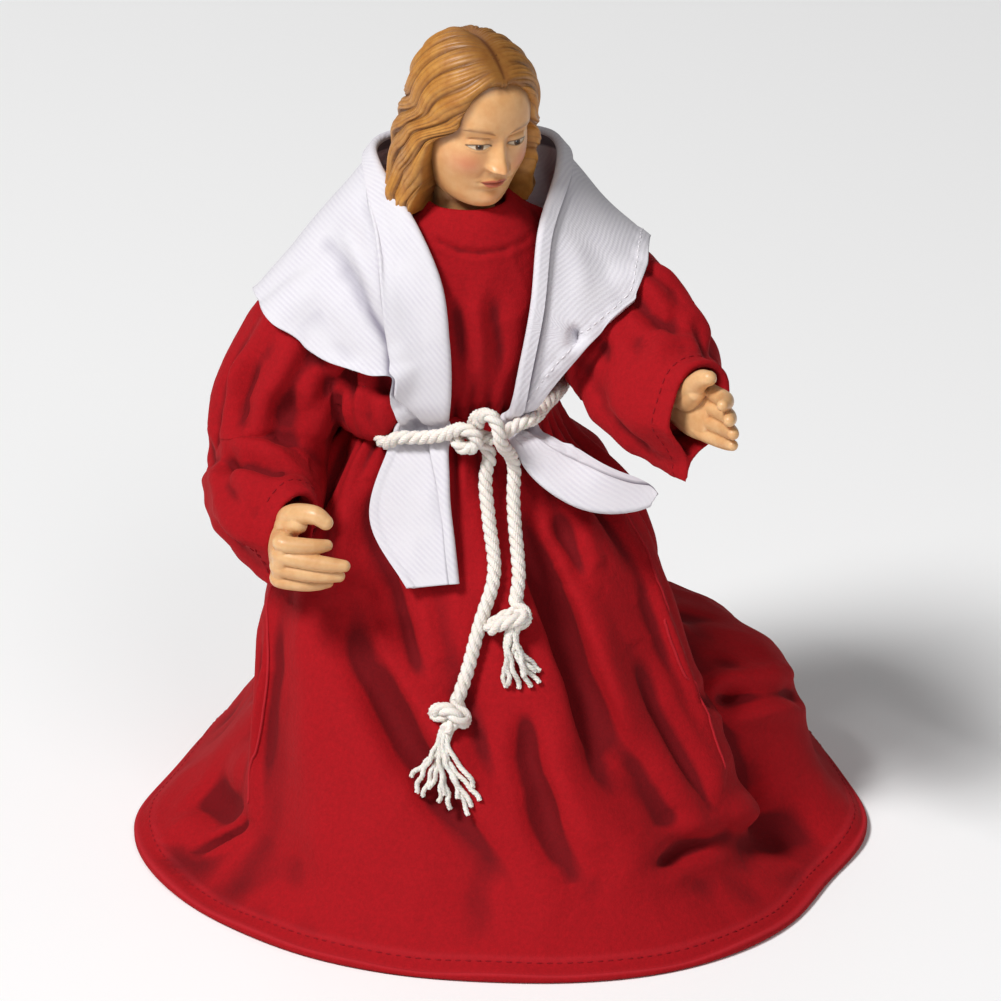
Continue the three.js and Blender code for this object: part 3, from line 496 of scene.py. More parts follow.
# Creases read off the front of the cloth, then those of the sides and the back.
SKIRT_CREASES = [
    [-1.5, 2.4, [[-24.8, -22, 47.2], [-19.9, -28, 38.4], [-13.9, -33.5, 29.7], [-6, -40.3, 20.5],
                 [-0.1, -44.2, 14.5], [2.6, -45.8, 11.7], [10.1, -47.8, 8]]],
    [-0.8, 1.6, [[-15.4, -25, 47.7], [-12.2, -29.9, 39.3], [-9.8, -31.5, 36.9]]],
    [-1.9, 2.3, [[2, -18.4, 64], [4.5, -20.4, 56.5], [9.4, -24.6, 44], [12.1, -28.7, 35.4],
                 [15, -35.4, 26.1], [19.5, -39.7, 17.8]]],
    [-1.3, 1.9, [[3.3, -33.1, 36.8], [4, -36.5, 28.7], [6.4, -40.1, 22.1], [10.1, -44.9, 12.1]]],
    [-1.3, 1.5, [[9, -17.5, 61], [10.1, -19, 56.7], [12.1, -21.6, 50.9], [15.5, -21.7, 48.2]]],
    [-1.5, 2.1, [[20.4, -22, 40.6], [23.6, -25, 31.5], [28.5, -27.2, 21.9], [31.3, -28.4, 15.9],
                 [36.8, -23.5, 11]]],
    [1.1, 2.2, [[8.4, -20.9, 52.7], [14, -24.7, 41.9], [19.6, -29.5, 27.4], [25.3, -32.3, 18.2]]],
    [0.8, 1.2, [[21.5, -12, 51.7], [23.7, -15.2, 43.7], [26.7, -17.8, 35.3], [31.4, -20.5, 25.1],
                [33.2, -22.9, 19.8]]],
    [-2.2, 1.5, [[29, -18.9, 30.2], [36.4, -6.7, 24.1], [45.1, 2.4, 20.4], [48, 12, 18]]],
    [1.6, 2.6, [[33.1, -27.6, 14.1], [39.6, -12.8, 9.1], [45.7, -5.9, 9.2]]],
    [-1.2, 1.5, [[21, -42.1, 12.6], [27.3, -34.5, 12.5], [37.2, -23.2, 10.2]]],
    [-1.5, 0.9, [[-38.1, -19.1, 9.8], [-41.9, -17.4, 5.5], [-46.6, -16.8, 3]]],
    [-1.3, 2.8, [[-46.1, -4.4, 8], [-43.1, -9.6, 8], [-39.5, -16, 8.7]]],
    [1.0, 1.3, [[-34.5, -10.8, 42.3], [-34.7, -16.4, 33.9], [-36.7, -17.2, 18.6],
                [-37.8, -20, 9.9]]],
    [-1.4, 2, [[-19.6, -14.9, 63.8], [-18.1, -19.9, 56.3], [-14.8, -26, 46.1], [-11, -31, 36]]],
    [-1, 1.6, [[6, -15, 70], [8.5, -19, 60], [9, -23, 50]]],
]
# Where a crease starts, in degrees from the front, its top and bottom height, how many degrees it
# drifts round, its size and its width.
steps = np.linspace(0, 1, 9)
for turn, top, bottom, drift, size, width in [
    (-95, 66, 20, -6, -1.2, 2.1), (-112, 68, 30, 8, 1.1, 2.4), (-128, 66, 6, -5, -1.7, 2.4),
    (-146, 68, 12, 6, 1.3, 2.8), (-160, 66, 8, -4, -1.6, 2.2), (-174, 68, 26, 8, 1.1, 2.3),
    (172, 66, 5, -6, -1.7, 2.3), (158, 68, 16, 4, 1.4, 2.6), (140, 66, 7, 3, -1.5, 2.2),
    (124, 66, 32, -8, 1.2, 2.3), (106, 68, 26, 8, -1.4, 2), (88, 68, 34, 3, -1.2, 1.7),
    (-70, 69, 44, 6, -1.1, 1.7), (-52, 69, 40, 12, 0.9, 1.9), (-30, 69, 52, 8, -0.9, 1.4),
    (60, 68, 46, 6, -1, 1.5),
]:
    line = trunk_point(mix(top, bottom, steps), turn + drift * steps**1.3)
    SKIRT_CREASES.append([size, width, line])
skirt = creased(skirt, out, [[CREASE_DEPTH * size, *rest] for size, *rest in SKIRT_CREASES])

# Puckers below the belt, soft swells, the hem's thick band and the pull of its stitches.
out = grid_normals(skirt)
turning = np.radians(turns)
rise = levels[:, None] / WAIST
puckers = sum(
    random.uniform(0.5, 1) * np.cos(n * turning + random.uniform(0, 6.28) + 1.4 * rise)
    for n in (23, 31, 38, 47)
)
near_belt = (hill(levels, WAIST, 9) * (1 - hill(levels, WAIST, 2.4)))[:, None]
soft = 0.3 * puckers * near_belt
soft = soft + 0.42 * swell(skirt, (13, 13, 30)) + 0.2 * swell(skirt, (6, 6, 12))
soft = soft - 0.5 * np.abs(swell(skirt + 90, (9, 9, 17))) * ease(72, 50, levels)[:, None]
from_edge = np.linalg.norm(skirt - skirt[:1], axis=2)
hem_band = 0.32 * (1 - ease(HEM_WIDTH - 0.35, HEM_WIDTH + 0.25, from_edge))
stitch_pull = 0.16 * hill(from_edge, HEM_STITCH, 0.5) * (1 + 0.5 * np.cos(turning * HEM_PULLS))
skirt = skirt + out * (soft * ease(0, 8, from_edge) + hem_band - stitch_pull)[..., None]
edge_wave = 0.5 * np.sin(9 * turning + 1) + 0.35 * np.sin(17 * turning + 2.2)
skirt[..., 2] = np.maximum(skirt[..., 2], HEM_LIFT * (1 - ease(0, 9, skirt[..., 2])) + 0.02)
skirt[..., 2] += 0.35 * (edge_wave + 0.85) * hill(from_edge, 0, 4.5)
hem_line = np.array([
    drawn_at(HEM_STITCH, from_edge[:40, j], skirt[:40, j]) for j in range(SKIRT_COLUMNS)
])

# The turned edge, then the lining that closes the shell just above the ground: how far in from the
# edge each row is, its share of the edge's height, and how much is added to that.
edge = skirt[0]
facing = turning - np.pi / 2
inward = -np.stack([np.cos(facing), np.sin(facing), 0 * facing], 1)
under = []
for shift, share, above in [
    (-0.32, 0.72, 0), (-0.3, 0.3, 0), (0.1, 0, 0.08), (1.2, 0, 0.05),
    (3.4, 0, LINING_HEIGHT), (12, 0, LINING_HEIGHT), (26, 0, LINING_HEIGHT),
]:
    row = edge + inward * shift
    row[:, 2] = edge[:, 2] * share + above
    under.append(row)
bottom = np.append(trunk_axis(0.0), LINING_HEIGHT)
top = np.append(trunk_axis(levels[-1]), levels[-1])
under += [mix(bottom, row, share) for share in (0.3, 0.12)]
cap = [mix(top, skirt[-1], share) for share in (0.6, 0.25)]
rings = np.concatenate([under[::-1], skirt, cap])
dress_skirt = piece_of("dress_skirt", *closed(rings, [bottom, top]), red.material)
# How deep each vertex lies in a fold, for the painted shade in the hollows.
keep(dress_skirt, "hollow", hollows(dress_skirt, 30))
# A painted highlight on the hem's rounded edge and, fainter, along the top of its turned band.
painted_highlight = np.zeros(rings.shape[:2])
hem_highlight = hill(from_edge, 0, 0.8) + 0.5 * hill(from_edge, HEM_WIDTH, 0.5)
painted_highlight[len(under) : len(under) + SKIRT_ROWS] = hem_highlight
keep(dress_skirt, "painted_highlight", np.append(painted_highlight, [0, 0]))
stands_for(dress_skirt, "dress")


# The dress's top: the same cotton, a bodice closed up to the neck and two wide sleeves set into it.
# It bags over the belt, and each sleeve ends in a turned cuff that is open round the hand.
CLOTH_WALL = 1.1
CUFF_DEPTH = 12
HANG_PINCH = 0.84  # how far the mouth's two sides close below the hand


def swept(stations, rows, sides, across=(1, 0, 0), start_dome=True, end_dome=True, swelling=None,
          narrow=None):
    """Rings of a tube through stations of [x, y, z, width, height], and what adds a ring to them."""
    stations = np.array(stations, float)
    course = through(np.column_stack([np.linspace(0, 1, len(stations)), stations]))
    steps = np.linspace(0, 1, rows)
    centre, size = np.split(course(steps), [3], 1)
    before, after = course(np.maximum(steps - 0.01, 0)), course(np.minimum(steps + 0.01, 1))
    ahead = unit((after - before)[:, :3])
    side = unit(np.array(across, float) - (ahead @ np.array(across, float))[:, None] * ahead)
    other = np.cross(ahead, side)
    angle = np.linspace(0, 2 * np.pi, sides, endpoint=False)
    rings = []

    def ring(i, shift, share, less=0.0):
        wide, high = size[i] * share
        grown = 0 if swelling is None else swelling(steps[i], angle)[:, None]
        drawn_in = 1 if narrow is None else narrow(steps[i], angle)[:, None]
        wide = np.maximum(wide * drawn_in - less, 0.25)
        spokes = np.cos(angle)[:, None] * side[i] * wide
        spokes = spokes + np.sin(angle)[:, None] * other[i] * (high - less)
        rings.append(centre[i] + ahead[i] * shift + spokes * (1 + grown))

    domes = np.radians([6, 20, 38, 56, 74])
    for a in domes[: 5 * start_dome]:
        ring(0, -math.cos(a) * size[0].min(), math.sin(a))
    for i in range(rows):
        ring(i, 0, 1)
    for a in domes[::-1][: 5 * end_dome]:
        ring(-1, math.cos(a) * size[-1].min(), math.sin(a))
    return rings, ring


def joined(solids):
    """Points and faces of several solids in one list each."""
    points, faces = [], []
    for solid_points, solid_faces in solids:
        faces += [tuple(i + len(points) for i in face) for face in solid_faces]
        points += np.asarray(solid_points).tolist()
    return points, faces


def settled(piece):
    """Turns a piece's modifiers into its mesh."""
    made = bpy.data.meshes.new_from_object(piece.evaluated_get(bpy.context.evaluated_depsgraph_get()))
    old = piece.data
    piece.modifiers.clear()
    piece.data = made
    made.name = piece.name
    if not made.materials:
        made.materials.append(old.materials[0])
    bpy.data.meshes.remove(old)
    made.shade_smooth()


def fused(name, solids, voxel, shares, finish):
    """One skin over solids that run into each other, smoothed."""
    piece = piece_of(name, *joined(solids), finish)
    skin = piece.modifiers.new("skin", "REMESH")
    skin.mode = "VOXEL"
    skin.voxel_size = voxel * MM
    settled(piece)
    move_to(piece, smoothed(piece, places_of(piece), shares))
    return piece


def sleeve_swelling(t, angle):
    grow = 0.45 * np.cos(5 * angle + 2.2 * t) + 0.3 * np.sin(3 * angle - 3 * t)
    return grow * ease(0, 0.3, t) / 10


# Each sleeve's upper and fore part as places with their width and height, and the mouth's lean.
SLEEVES = {
    "right": (
        [[-11, -2, 96.5, 8.4, 8.4], [-20, -2, 88.5, 9.6, 9.8], [-28, -2, 80, 10.2, 10.4],
         [-33, -3, 70, 10, 10.4], [-34, -5, 63.5, 9.4, 9.6]],
        [[-34.4, -6, 61.8, 9, 8.8], [-35, -12.5, 60.4, 9, 9.2], [-34.4, -19, 59.2, 7.8, 8.8],
         [-30.9, -24.6, 58.4, 4.3, 8.3]],
        (0.97, 0, -0.24),
    ),
    "left": (
        [[1, -3, 95.5, 8, 8], [9.5, -2.6, 90.2, 9.2, 9.4], [17.4, -4.2, 85.2, 10.9, 10.9],
         [21.4, -9.4, 81.2, 10.8, 10.8], [22.6, -13.4, 79.2, 10.3, 10.3]],
        [[22.4, -14, 79, 9.6, 10.2], [23.8, -18.4, 78.6, 8.8, 10], [25.6, -22.6, 78, 7.4, 9.6],
         [28.3, -26.8, 78.2, 5.5, 9.4]],
        (0.98, 0, -0.15),
    ),
}


def sleeve_narrow(t, angle):
    """The mouth is drop-shaped: round at the wrist and nearly closed where it hangs below the hand."""
    down, up = ease(0.05, 0.75, -np.sin(angle)), ease(0.3, 1, np.sin(angle))
    return mix(1, 1 - HANG_PINCH * down + 0.25 * up, ease(0.3, 1, t))


BELT_TILT = 2.2  # the belt rides higher on the figure's left
BELT_RISE = 2.4  # and higher at the back


def belt_height(turn):
    turn = np.radians(turn)
    return WAIST + BELT_TILT * np.sin(turn) + BELT_RISE * (0.5 - 0.5 * np.cos(turn))


# Slack cloth that hangs over the belt: degrees from the front, and there how far its middle is above
# the belt and outside the bodice, and how high and how deep it is.
BAG = [
    (-32, 4.8, 0.6, 1.8, 0.8), (-39, 3.8, 1.8, 3.2, 1.6), (-50, 2.5, 2.4, 4.4, 2.1),
    (-62, 2.4, 2.6, 4.8, 2.2), (-76, 2.6, 2.7, 5.2, 2.2), (-90, 2.8, 2.6, 4.8, 2.1),
    (-104, 3, 2.2, 3, 1.4),
]
bag = [
    [*trunk_point(belt_height(turn) + above, turn, outside), *size]
    for turn, above, outside, *size in BAG
]
levels = np.linspace(WAIST - 1.4, COLLAR, 90)
bodice = list(trunk_point(levels[:, None], np.arange(200) * 1.8))
collar_axis = np.append(trunk_axis(COLLAR), 0)
collar = bodice[-1] - collar_axis
# The collar's rounded edge and its inside: how far in, and how far up from the last row.
for shrink, rise in [(0.25, 0.3), (0.6, 0.4), (0.95, 0.25), (CLOTH_WALL, -0.2), (CLOTH_WALL, -5.2)]:
    size = np.linalg.norm(collar[:, :2], axis=1)
    share = (size - shrink) / size
    bodice.append(collar * np.stack([share, share, 1 + 0 * share], 1) + collar_axis + [0, 0, rise])
solids = [closed(bodice), closed(swept(bag, 30, 40, across=(0, 0, 1))[0])]
for upper, fore, lean in SLEEVES.values():
    solids.append(closed(swept(upper, 24, 48, swelling=sleeve_swelling)[0]))
    rings, ring = swept(fore, 30, 72, across=lean, end_dome=False, narrow=sleeve_narrow)
    for shift, less in ((0.35, 0.3), (0.35, 0.75), (0, CLOTH_WALL)):
        ring(-1, shift, 1, less)
    for deep, share in ((3, 0.98), (6, 0.94), (9, 0.86), (CUFF_DEPTH, 0.72)):
        ring(-1, -deep, share, CLOTH_WALL)
    solids.append(closed(rings))
dress_top = fused("dress_top", solids, 0.38, [0.5, -0.46] * 4, red.material)
spots, out = places_of(dress_top), outward(dress_top)

TOP_CREASES = [
    [-1.7, 1.4, [[-43.2, -5, 63.4], [-42.8, -9.1, 64.3], [-39, -16.6, 67.4], [-35.4, -18.9, 68.3],
                 [-33.1, -20.1, 67.2], [-29.5, -17.5, 62], [-26.5, -13, 59]]],
    [1.2, 2.2, [[-42.5, -8.1, 67.6], [-38, -14.6, 70.5], [-33, -16, 70.4], [-28.5, -14.5, 66]]],
    [-1.5, 1.6, [[-36, -9, 82], [-38.9, -10.2, 75], [-38.6, -12, 70.6], [-38.4, -15, 67.8]]],
    [-1, 1.7, [[-31.7, -12.4, 77.6], [-30.8, -12.8, 70.9], [-31, -15.5, 68.1]]],
    [-1.2, 1.6, [[-28.8, -10.8, 88], [-26.6, -11.9, 81.7], [-24.5, -11.6, 75.2], [-24, -10, 69]]],
    [-0.9, 1.8, [[-42, -16, 61.9], [-40.3, -21.3, 57], [-36.1, -26.9, 51.7]]],
    [-0.9, 1.4, [[-44.5, -3, 66], [-43.6, -8, 64], [-42.6, -10, 65.5]]],
    [1.0, 2, [[-30, -10, 84], [-33, -13, 77], [-34, -14.5, 71]]],
    [-1.3, 1.7, [[20.4, -14.6, 88], [21.7, -19.4, 85.8], [22.6, -19, 80.4], [19.5, -19.5, 75]]],
    [-1.2, 1.5, [[12.6, -12.8, 88.1], [16.4, -17.9, 83.9], [19, -22.3, 82.3]]],
    [-0.9, 1.4, [[27.7, -12.5, 88.8], [30.1, -18, 86.4], [31.7, -25.3, 84.8]]],
    [-1.4, 1.8, [[14.8, -17.4, 80.8], [18.4, -23.4, 73.1], [24.7, -25.8, 69.9]]],
    [1.1, 1.9, [[17, -14, 87], [19.5, -18, 83], [19, -21, 78]]],
    [-0.6, 1.6, [[-6.6, -17.2, 97], [-5.9, -17.6, 88], [-5.7, -15.8, 76]]],
    [-0.7, 1.5, [[-1.5, -17, 96], [-0.1, -16.9, 85.4], [0.2, -14.7, 75.5]]],
    [0.5, 1.3, [[-3.8, -17.2, 95], [-3, -17.2, 86], [-2.7, -15.4, 76.5]]],
    [-0.42, 0.5, [[-12, -8, 101.4], [-8.8, -14.8, 101.6], [-5.9, -15.7, 100.5], [-3, -15.8, 100.2],
                  [0.7, -14.8, 100.4], [3.6, -12.4, 100.9], [5.4, -7, 101.3]]],
    [-1.5, 1.4, [[-15, -11, 86], [-17, -14, 80], [-17, -16, 75]]],
    [-1.2, 1.2, [[-20, -8, 84], [-22, -12, 79], [-22, -14, 74]]],
    [-1.2, 1.5, [[-14, 5, 88], [-20, 9, 80], [-22, 8, 74]]],
    [-1.2, 1.7, [[2, 6, 88], [4, 9, 80], [5, 9, 75]]],
]


def along_sleeve(side, turn, start, end, twist):
    """A line down a sleeve, at a turn round it in degrees from the figure's left side."""
    upper, fore, _ = SLEEVES[side]
    stations = np.array(upper + fore[1:])
    course = through(np.column_stack([np.linspace(0, 1, len(stations)), stations]))
    line = []
    for t in np.linspace(start, end, 7):
        x, y, z, wide, high = course(t)
        ahead = unit(course(min(t + 0.02, 1))[:3] - course(max(t - 0.02, 0))[:3])
        across = unit(np.array([1, 0, 0]) - ahead[0] * ahead)
        angle = math.radians(turn + twist * (t - start) / (end - start))
        spoke = across * math.cos(angle) * wide + np.cross(ahead, across) * math.sin(angle) * high
        line.append(np.array([x, y, z]) + spoke)
    return line


for side, turn, start, end, twist, size, width in [
    ("right", 60, 0.15, 0.62, 25, -1.1, 1.7), ("right", 100, 0.2, 0.7, -20, -1.3, 1.6),
    ("right", 140, 0.1, 0.6, 20, 0.9, 2), ("right", 165, 0.3, 0.75, -30, -1, 1.5),
    ("right", 120, 0.62, 0.95, 25, -1, 1.4), ("right", 200, 0.58, 0.9, 30, -1.2, 1.6),
    ("left", 50, 0.2, 0.7, 30, -1.1, 1.6), ("left", 90, 0.25, 0.8, -15, -1.2, 1.5),
    ("left", 20, 0.4, 0.9, 20, -1, 1.5), ("left", 130, 0.3, 0.8, 25, 0.9, 1.8),
]:
    TOP_CREASES.append([size, width, along_sleeve(side, turn, start, end, twist)])
spots = creased(spots, out, TOP_CREASES)

# Small creases everywhere but on the flat collar, and gathers where the bodice meets the belt.
flat_front = ease(99, 102, spots[:, 2]) * ease(10, 6, np.abs(spots[:, 0] + 4))
small = 0.3 * swell(spots, (7, 7, 11)) - 0.42 * np.abs(swell(spots + 40, (5.5, 5.5, 9)))
from_body = spots[:, :2] + [6, 2]
blouse = 0.35 * np.cos(np.arctan2(from_body[:, 1], from_body[:, 0]) * 34 + 3 * swell(spots, 14))
blouse *= hill(spots[:, 2], WAIST + 2, 4.5) * (np.hypot(*from_body.T) < 21)
move_to(dress_top, spots + out * (small * (1 - 0.7 * flat_front) + blouse)[:, None])
# How deep each vertex lies in a fold, for the painted shade in the hollows.
keep(dress_top, "hollow", hollows(dress_top, 30))
keep(dress_top, "painted_highlight", np.zeros(len(spots)))
stands_for(dress_top, "dress")


# The shawl: one piece of white twill laid round the shoulders, its neck edge folded over into a
# lapel on one side and rolled on the other. Both ends are held by the belt and hang free below it.
SHAWL_ROWS = [
    [-6.5, -26, 51.4, -13.7, -26.5, 50.8],
    [-7.4, -21.8, 62, -19.6, -19.8, 60],
    [-8.2, -17.2, 72, -15.6, -15.2, 72],
    [-7.6, -18.6, 79, -16.2, -17, 77],
    [-7.7, -19.2, 87, -17.6, -17.8, 81],
    [-8.4, -18.4, 96, -26, -13.5, 82.4],
    [-12, -14.5, 104, -32.5, -8.5, 85.4],
    [-17.2, -4, 109, -37, -1, 87.6],
    [-17.6, 4.5, 110, -35.5, 8, 84],
    [-12.5, 10, 110, -26, 12, 81],
    [-5, 11.6, 110, -7, 12.8, 80.4],
    [3, 9.8, 110.4, 13, 11.4, 82],
    [7.6, 4.5, 110.4, 21, 7.5, 91.2],
    [8.2, -3, 108.6, 21.6, -1.2, 96],
    [5.6, -11.5, 102.5, 20, -12, 91.2],
    [4.6, -17.2, 92, 13.6, -17, 87],
    [2.6, -17.4, 80, 7, -16.6, 78.5],
    [1.8, -16.8, 73.5, 5.4, -15.6, 74],
    [4.4, -19.4, 67, 10.8, -15.6, 69.6],
    [12, -21.6, 62.4, 16.6, -18, 67],
    [21.6, -20.6, 61, 24.4, -18.4, 64.4],
]
SHAWL_CLOTH = 0.55
LAYER_STEP = 0.85
shawl_place = through([[i / 20, *row] for i, row in enumerate(SHAWL_ROWS)])


def surface_of(*pieces):
    """A search tree over the faces of several pieces, in millimetres."""
    solids = ((places_of(piece), [face.vertices for face in piece.data.polygons]) for piece in pieces)
    return BVHTree.FromPolygons(*joined(solids))


def pushed_off(points, tree, least, share=None):
    """Points moved out to at least some way off a surface, or, by a share, to just that height."""
    moved = points.reshape(-1, 3).copy()
    for i, p in enumerate(moved):
        spot, normal, _, _ = tree.find_nearest(p, 6)
        if spot is None:
            continue
        low = least - (Vector(p) - spot).dot(normal)
        if share is None and low > 0:
            moved[i] = p + np.array(normal) * low
        elif share is not None and share.flat[i] > 0:
            moved[i] = p + np.array(normal) * low * share.flat[i]
    return moved.reshape(points.shape)


def blurred(values, rounds, along=(0, 1)):
    """A grid of values, averaged with their neighbours."""
    for _ in range(rounds):
        for axis in along:
            padded = np.concatenate([values.take([0], axis), values, values.take([-1], axis)], axis)
            n = values.shape[axis]
            before, after = padded.take(range(n), axis), padded.take(range(2, n + 2), axis)
            values = 0.25 * before + 0.5 * values + 0.25 * after
    return values


LENGTHWISE, CROSSWISE = 430, 44
TUCKED_WIDTH = 9.4  # below the shoulder the cloth is tucked in behind the lapel, to this width
ROUND_END = 0.032  # the share of its length over which the second end is rounded
a = np.linspace(0, 1, LENGTHWISE)[:, None]
b = np.linspace(1, 0, CROSSWISE)[None, :]
inner, outer = np.split(shawl_place(a), [3], -1)
tucked = between(a, 0.12, 0.15, 0.2, 0.208)
share = mix(1, np.minimum(1, TUCKED_WIDTH / np.linalg.norm(outer - inner, axis=-1)), tucked) * b
shape = mix(inner, outer, share[..., None])
middle = shape.mean(1, keepdims=True)
rounded = np.sqrt(1 - np.clip((a - 1 + ROUND_END) / ROUND_END, 0, 1) ** 2)[..., None]
shape = middle + (shape - middle) * (0.1 + 0.9 * rounded)
normal = grid_normals(shape, around=False)
ripple = 0.5 * np.sin(14 * a + 5 * b) * between(a, 0.1, 0.2, 0.7, 0.85) * b
shape = shape + unit(inner * [1, 1, 0]) * ripple[..., None]
SHAWL_VALLEY = [
    [-28, -2, 98.4], [-25.9, -5.8, 97.8], [-23.3, -10.2, 97.2], [-21.3, -13.3, 95.3],
    [-19.2, -15.1, 90.9], [-17.3, -16.3, 88.2], [-16.3, -17.3, 86.2], [-16, -18.4, 82], [-16, -18, 80],
]
SHAWL_CREASES = [
    [-1.6, 1.1, SHAWL_VALLEY],
    [2, 1.9, [[-24, -4, 102], [-21, -10, 99.8], [-18.4, -13.6, 96.4], [-16.4, -15.4, 92.4],
              [-15.2, -16.6, 88.6], [-14.8, -17.6, 85]]],
    [0.9, 1.6, [[-27, -8, 94], [-24, -12, 91], [-21.4, -14.6, 87.4], [-19.4, -16, 84.4]]],
    [-0.6, 0.9, [[-30.3, 2.2, 95.1], [-27, -4, 95.4], [-24.2, -9.6, 95.2], [-23, -11.5, 93.4]]],
    [-0.6, 0.9, [[-24.4, -14, 85.8], [-22.6, -15.2, 84.3], [-20.6, -16.5, 82.7]]],
    [-0.6, 0.8, [[15.1, -10, 96.5], [16.8, -12.4, 94.2], [18.3, -12.7, 93]]],
    [-0.7, 0.8, [[8.7, -17.1, 89.5], [11.5, -16.8, 87.1], [12.3, -17, 86]]],
    [0.5, 1.6, [[10, -10, 101], [12, -13, 96], [11, -16, 90]]],
    [-0.8, 1.6, [[-24, 9, 107], [-26, 10.5, 96], [-24, 11.5, 84]]],
    [-0.9, 1.7, [[-14, 10.5, 108], [-15.5, 12, 96], [-15, 12.5, 83]]],
    [0.8, 1.8, [[-5, 11.5, 108], [-6, 12.8, 95], [-5, 13, 83]]],
    [-0.9, 1.5, [[3, 9.8, 108], [6, 11.5, 96], [8, 12.2, 84]]],
    [-0.6, 1.2, [[7, 5, 108], [13, 8, 99], [17, 9.5, 88]]],
    [-0.7, 0.8, [[-9.6, -20, 67], [-9, -21.5, 63], [-7.8, -23.5, 58]]],
]
shape = creased(shape, normal, SHAWL_CREASES)
shape = shape + normal * (0.22 * swell(shape, (9, 9, 9)))[..., None]

# It is laid on the dress, and pressed down onto it where the belt passes over it.
dress_skin = surface_of(dress_top, dress_skirt)
shape = pushed_off(blurred(pushed_off(shape, dress_skin, 0.95), 3), dress_skin, 0.8)
under_belt = hill(shape[..., 2], WAIST, 2.2) * (a < 0.2)
under_belt += hill(shape[..., 2], WAIST + 0.4, 2.2) * (np.abs(a - 0.84) < 0.06)
under_belt *= under_belt.max(1, keepdims=True) >= 0.05
shape = blurred(pushed_off(shape, dress_skin, SHAWL_CLOTH, under_belt), 2)
normal = grid_normals(shape, around=False)
across = unit(np.gradient(shape, axis=1))
width = np.linalg.norm(np.diff(shape, axis=1), axis=2).sum(1)

# How much of the cloth is folded back over itself along the neck edge: the place along the shawl,
# from 0 to 1, and millimetres.
fold_back = through([
    [0, 0.9], [0.05, 1], [0.09, 2.2], [0.13, 4.4], [0.17, 8.4], [0.2, 9.6], [0.23, 9.8],
    [0.26, 9.2], [0.294, 7.2], [0.32, 4.9], [0.345, 2.7], [0.38, 1.8], [0.55, 1.7], [0.62, 1.9],
    [0.7, 1.6], [0.78, 1.5], [0.84, 1.7], [0.875, 3.2], [0.91, 5.4], [0.95, 5.6], [0.98, 4.6],
    [1, 3.4],
])(a[:, 0])[:, 0]
fold_back = np.minimum(fold_back, width * 0.94)
ROLL, BACK = 5, 22
FOLDED = CROSSWISE + ROLL
columns = FOLDED + BACK
sheet = np.zeros((LENGTHWISE, columns, 3))
sheet[:, :CROSSWISE] = shape
round_fold = np.pi * (np.arange(ROLL) + 0.5) / ROLL
for i in range(LENGTHWISE):
    up_and_over = np.outer(1 - np.cos(round_fold), normal[i, -1])
    up_and_over += np.outer(np.sin(round_fold), across[i, -1])
    sheet[i, CROSSWISE:FOLDED] = shape[i, -1] + LAYER_STEP / 2 * up_and_over
    raised = shape[i, ::-1] + normal[i, ::-1] * LAYER_STEP
    stops = fold_back[i] * np.linspace(0.04, 1, BACK)
    sheet[i, FOLDED:] = drawn_at(stops, far_along(shape[i, ::-1]), raised)
to_free_edge = np.linspace(0, 1, BACK)
loose = between(a, 0.13, 0.2, 0.33, 0.38) * to_free_edge**3
tail = ease(0.9, 0.95, a) * to_free_edge**2
lift = 0.75 * loose * (1 + 0.35 * np.sin(47 * a)) + 0.5 * tail * (1 + 0.5 * np.sin(75 * a))
sheet[:, FOLDED:] += normal[:, -BACK:][:, ::-1] * lift[..., None]

# The outer hem is turned in and sewn, which draws it in a little at each stitch. The ends are turned
# in too.
SEWN_FROM, SEWN_TO = 240, LENGTHWISE - 60  # from the back of the neck to the second end
SEWN_INSIDE = 2.0  # the thread runs this far from the edge
SHAWL_PULLS = 62
from_outer = (1 - b) * width[:, None]
hem_depth = 1.2 + 1.2 * ease(0.5, 0.56, a)
pulls = (0.5 + 0.5 * np.cos(2 * np.pi * a * SHAWL_PULLS)) ** 3 * ease(0.5, 0.56, a)
hem = 0.24 * (1 - ease(hem_depth - 0.1, hem_depth + 0.2, from_outer))
hem = hem - 0.3 * pulls * hill(from_outer, hem_depth - 0.4, 0.6)
ends = 0.2 * (1 - ease(0.9, 1.2, np.minimum(a, 1 - a) * 210))
sheet[:, :CROSSWISE] += normal * (hem + ends)[..., None]
sheet = blurred(sheet, 1)
sewn_face = sheet[:, :CROSSWISE] + normal * SHAWL_CLOTH / 2
shawl_hem = np.array([
    drawn_at(SEWN_INSIDE, from_outer[i], sewn_face[i]) for i in range(SEWN_FROM, SEWN_TO)
])

twill = Finish("white_twill", "#f0eeee", 0.85, Specular_IOR_Level=0.15, Sheen_Weight=0.1)
cloth_plan = twill.add("ShaderNodeUVMap")
cloth_plan.uv_map = "cloth"


def wave_along(angle, pitch, distortion):
    """Bands across the cloth's own length and width, in millimetres."""
    turned = twill.add(
        "ShaderNodeMapping", Vector=cloth_plan.outputs["UV"], Rotation=(0, 0, math.radians(angle))
    )
    bands = twill.add(
        "ShaderNodeTexWave", Vector=turned.outputs[0], Scale=1 / pitch * 2 * math.pi / 20,
        Distortion=distortion, Detail=1, Detail_Scale=1.5,
    )
    return bands.outputs["Fac"]


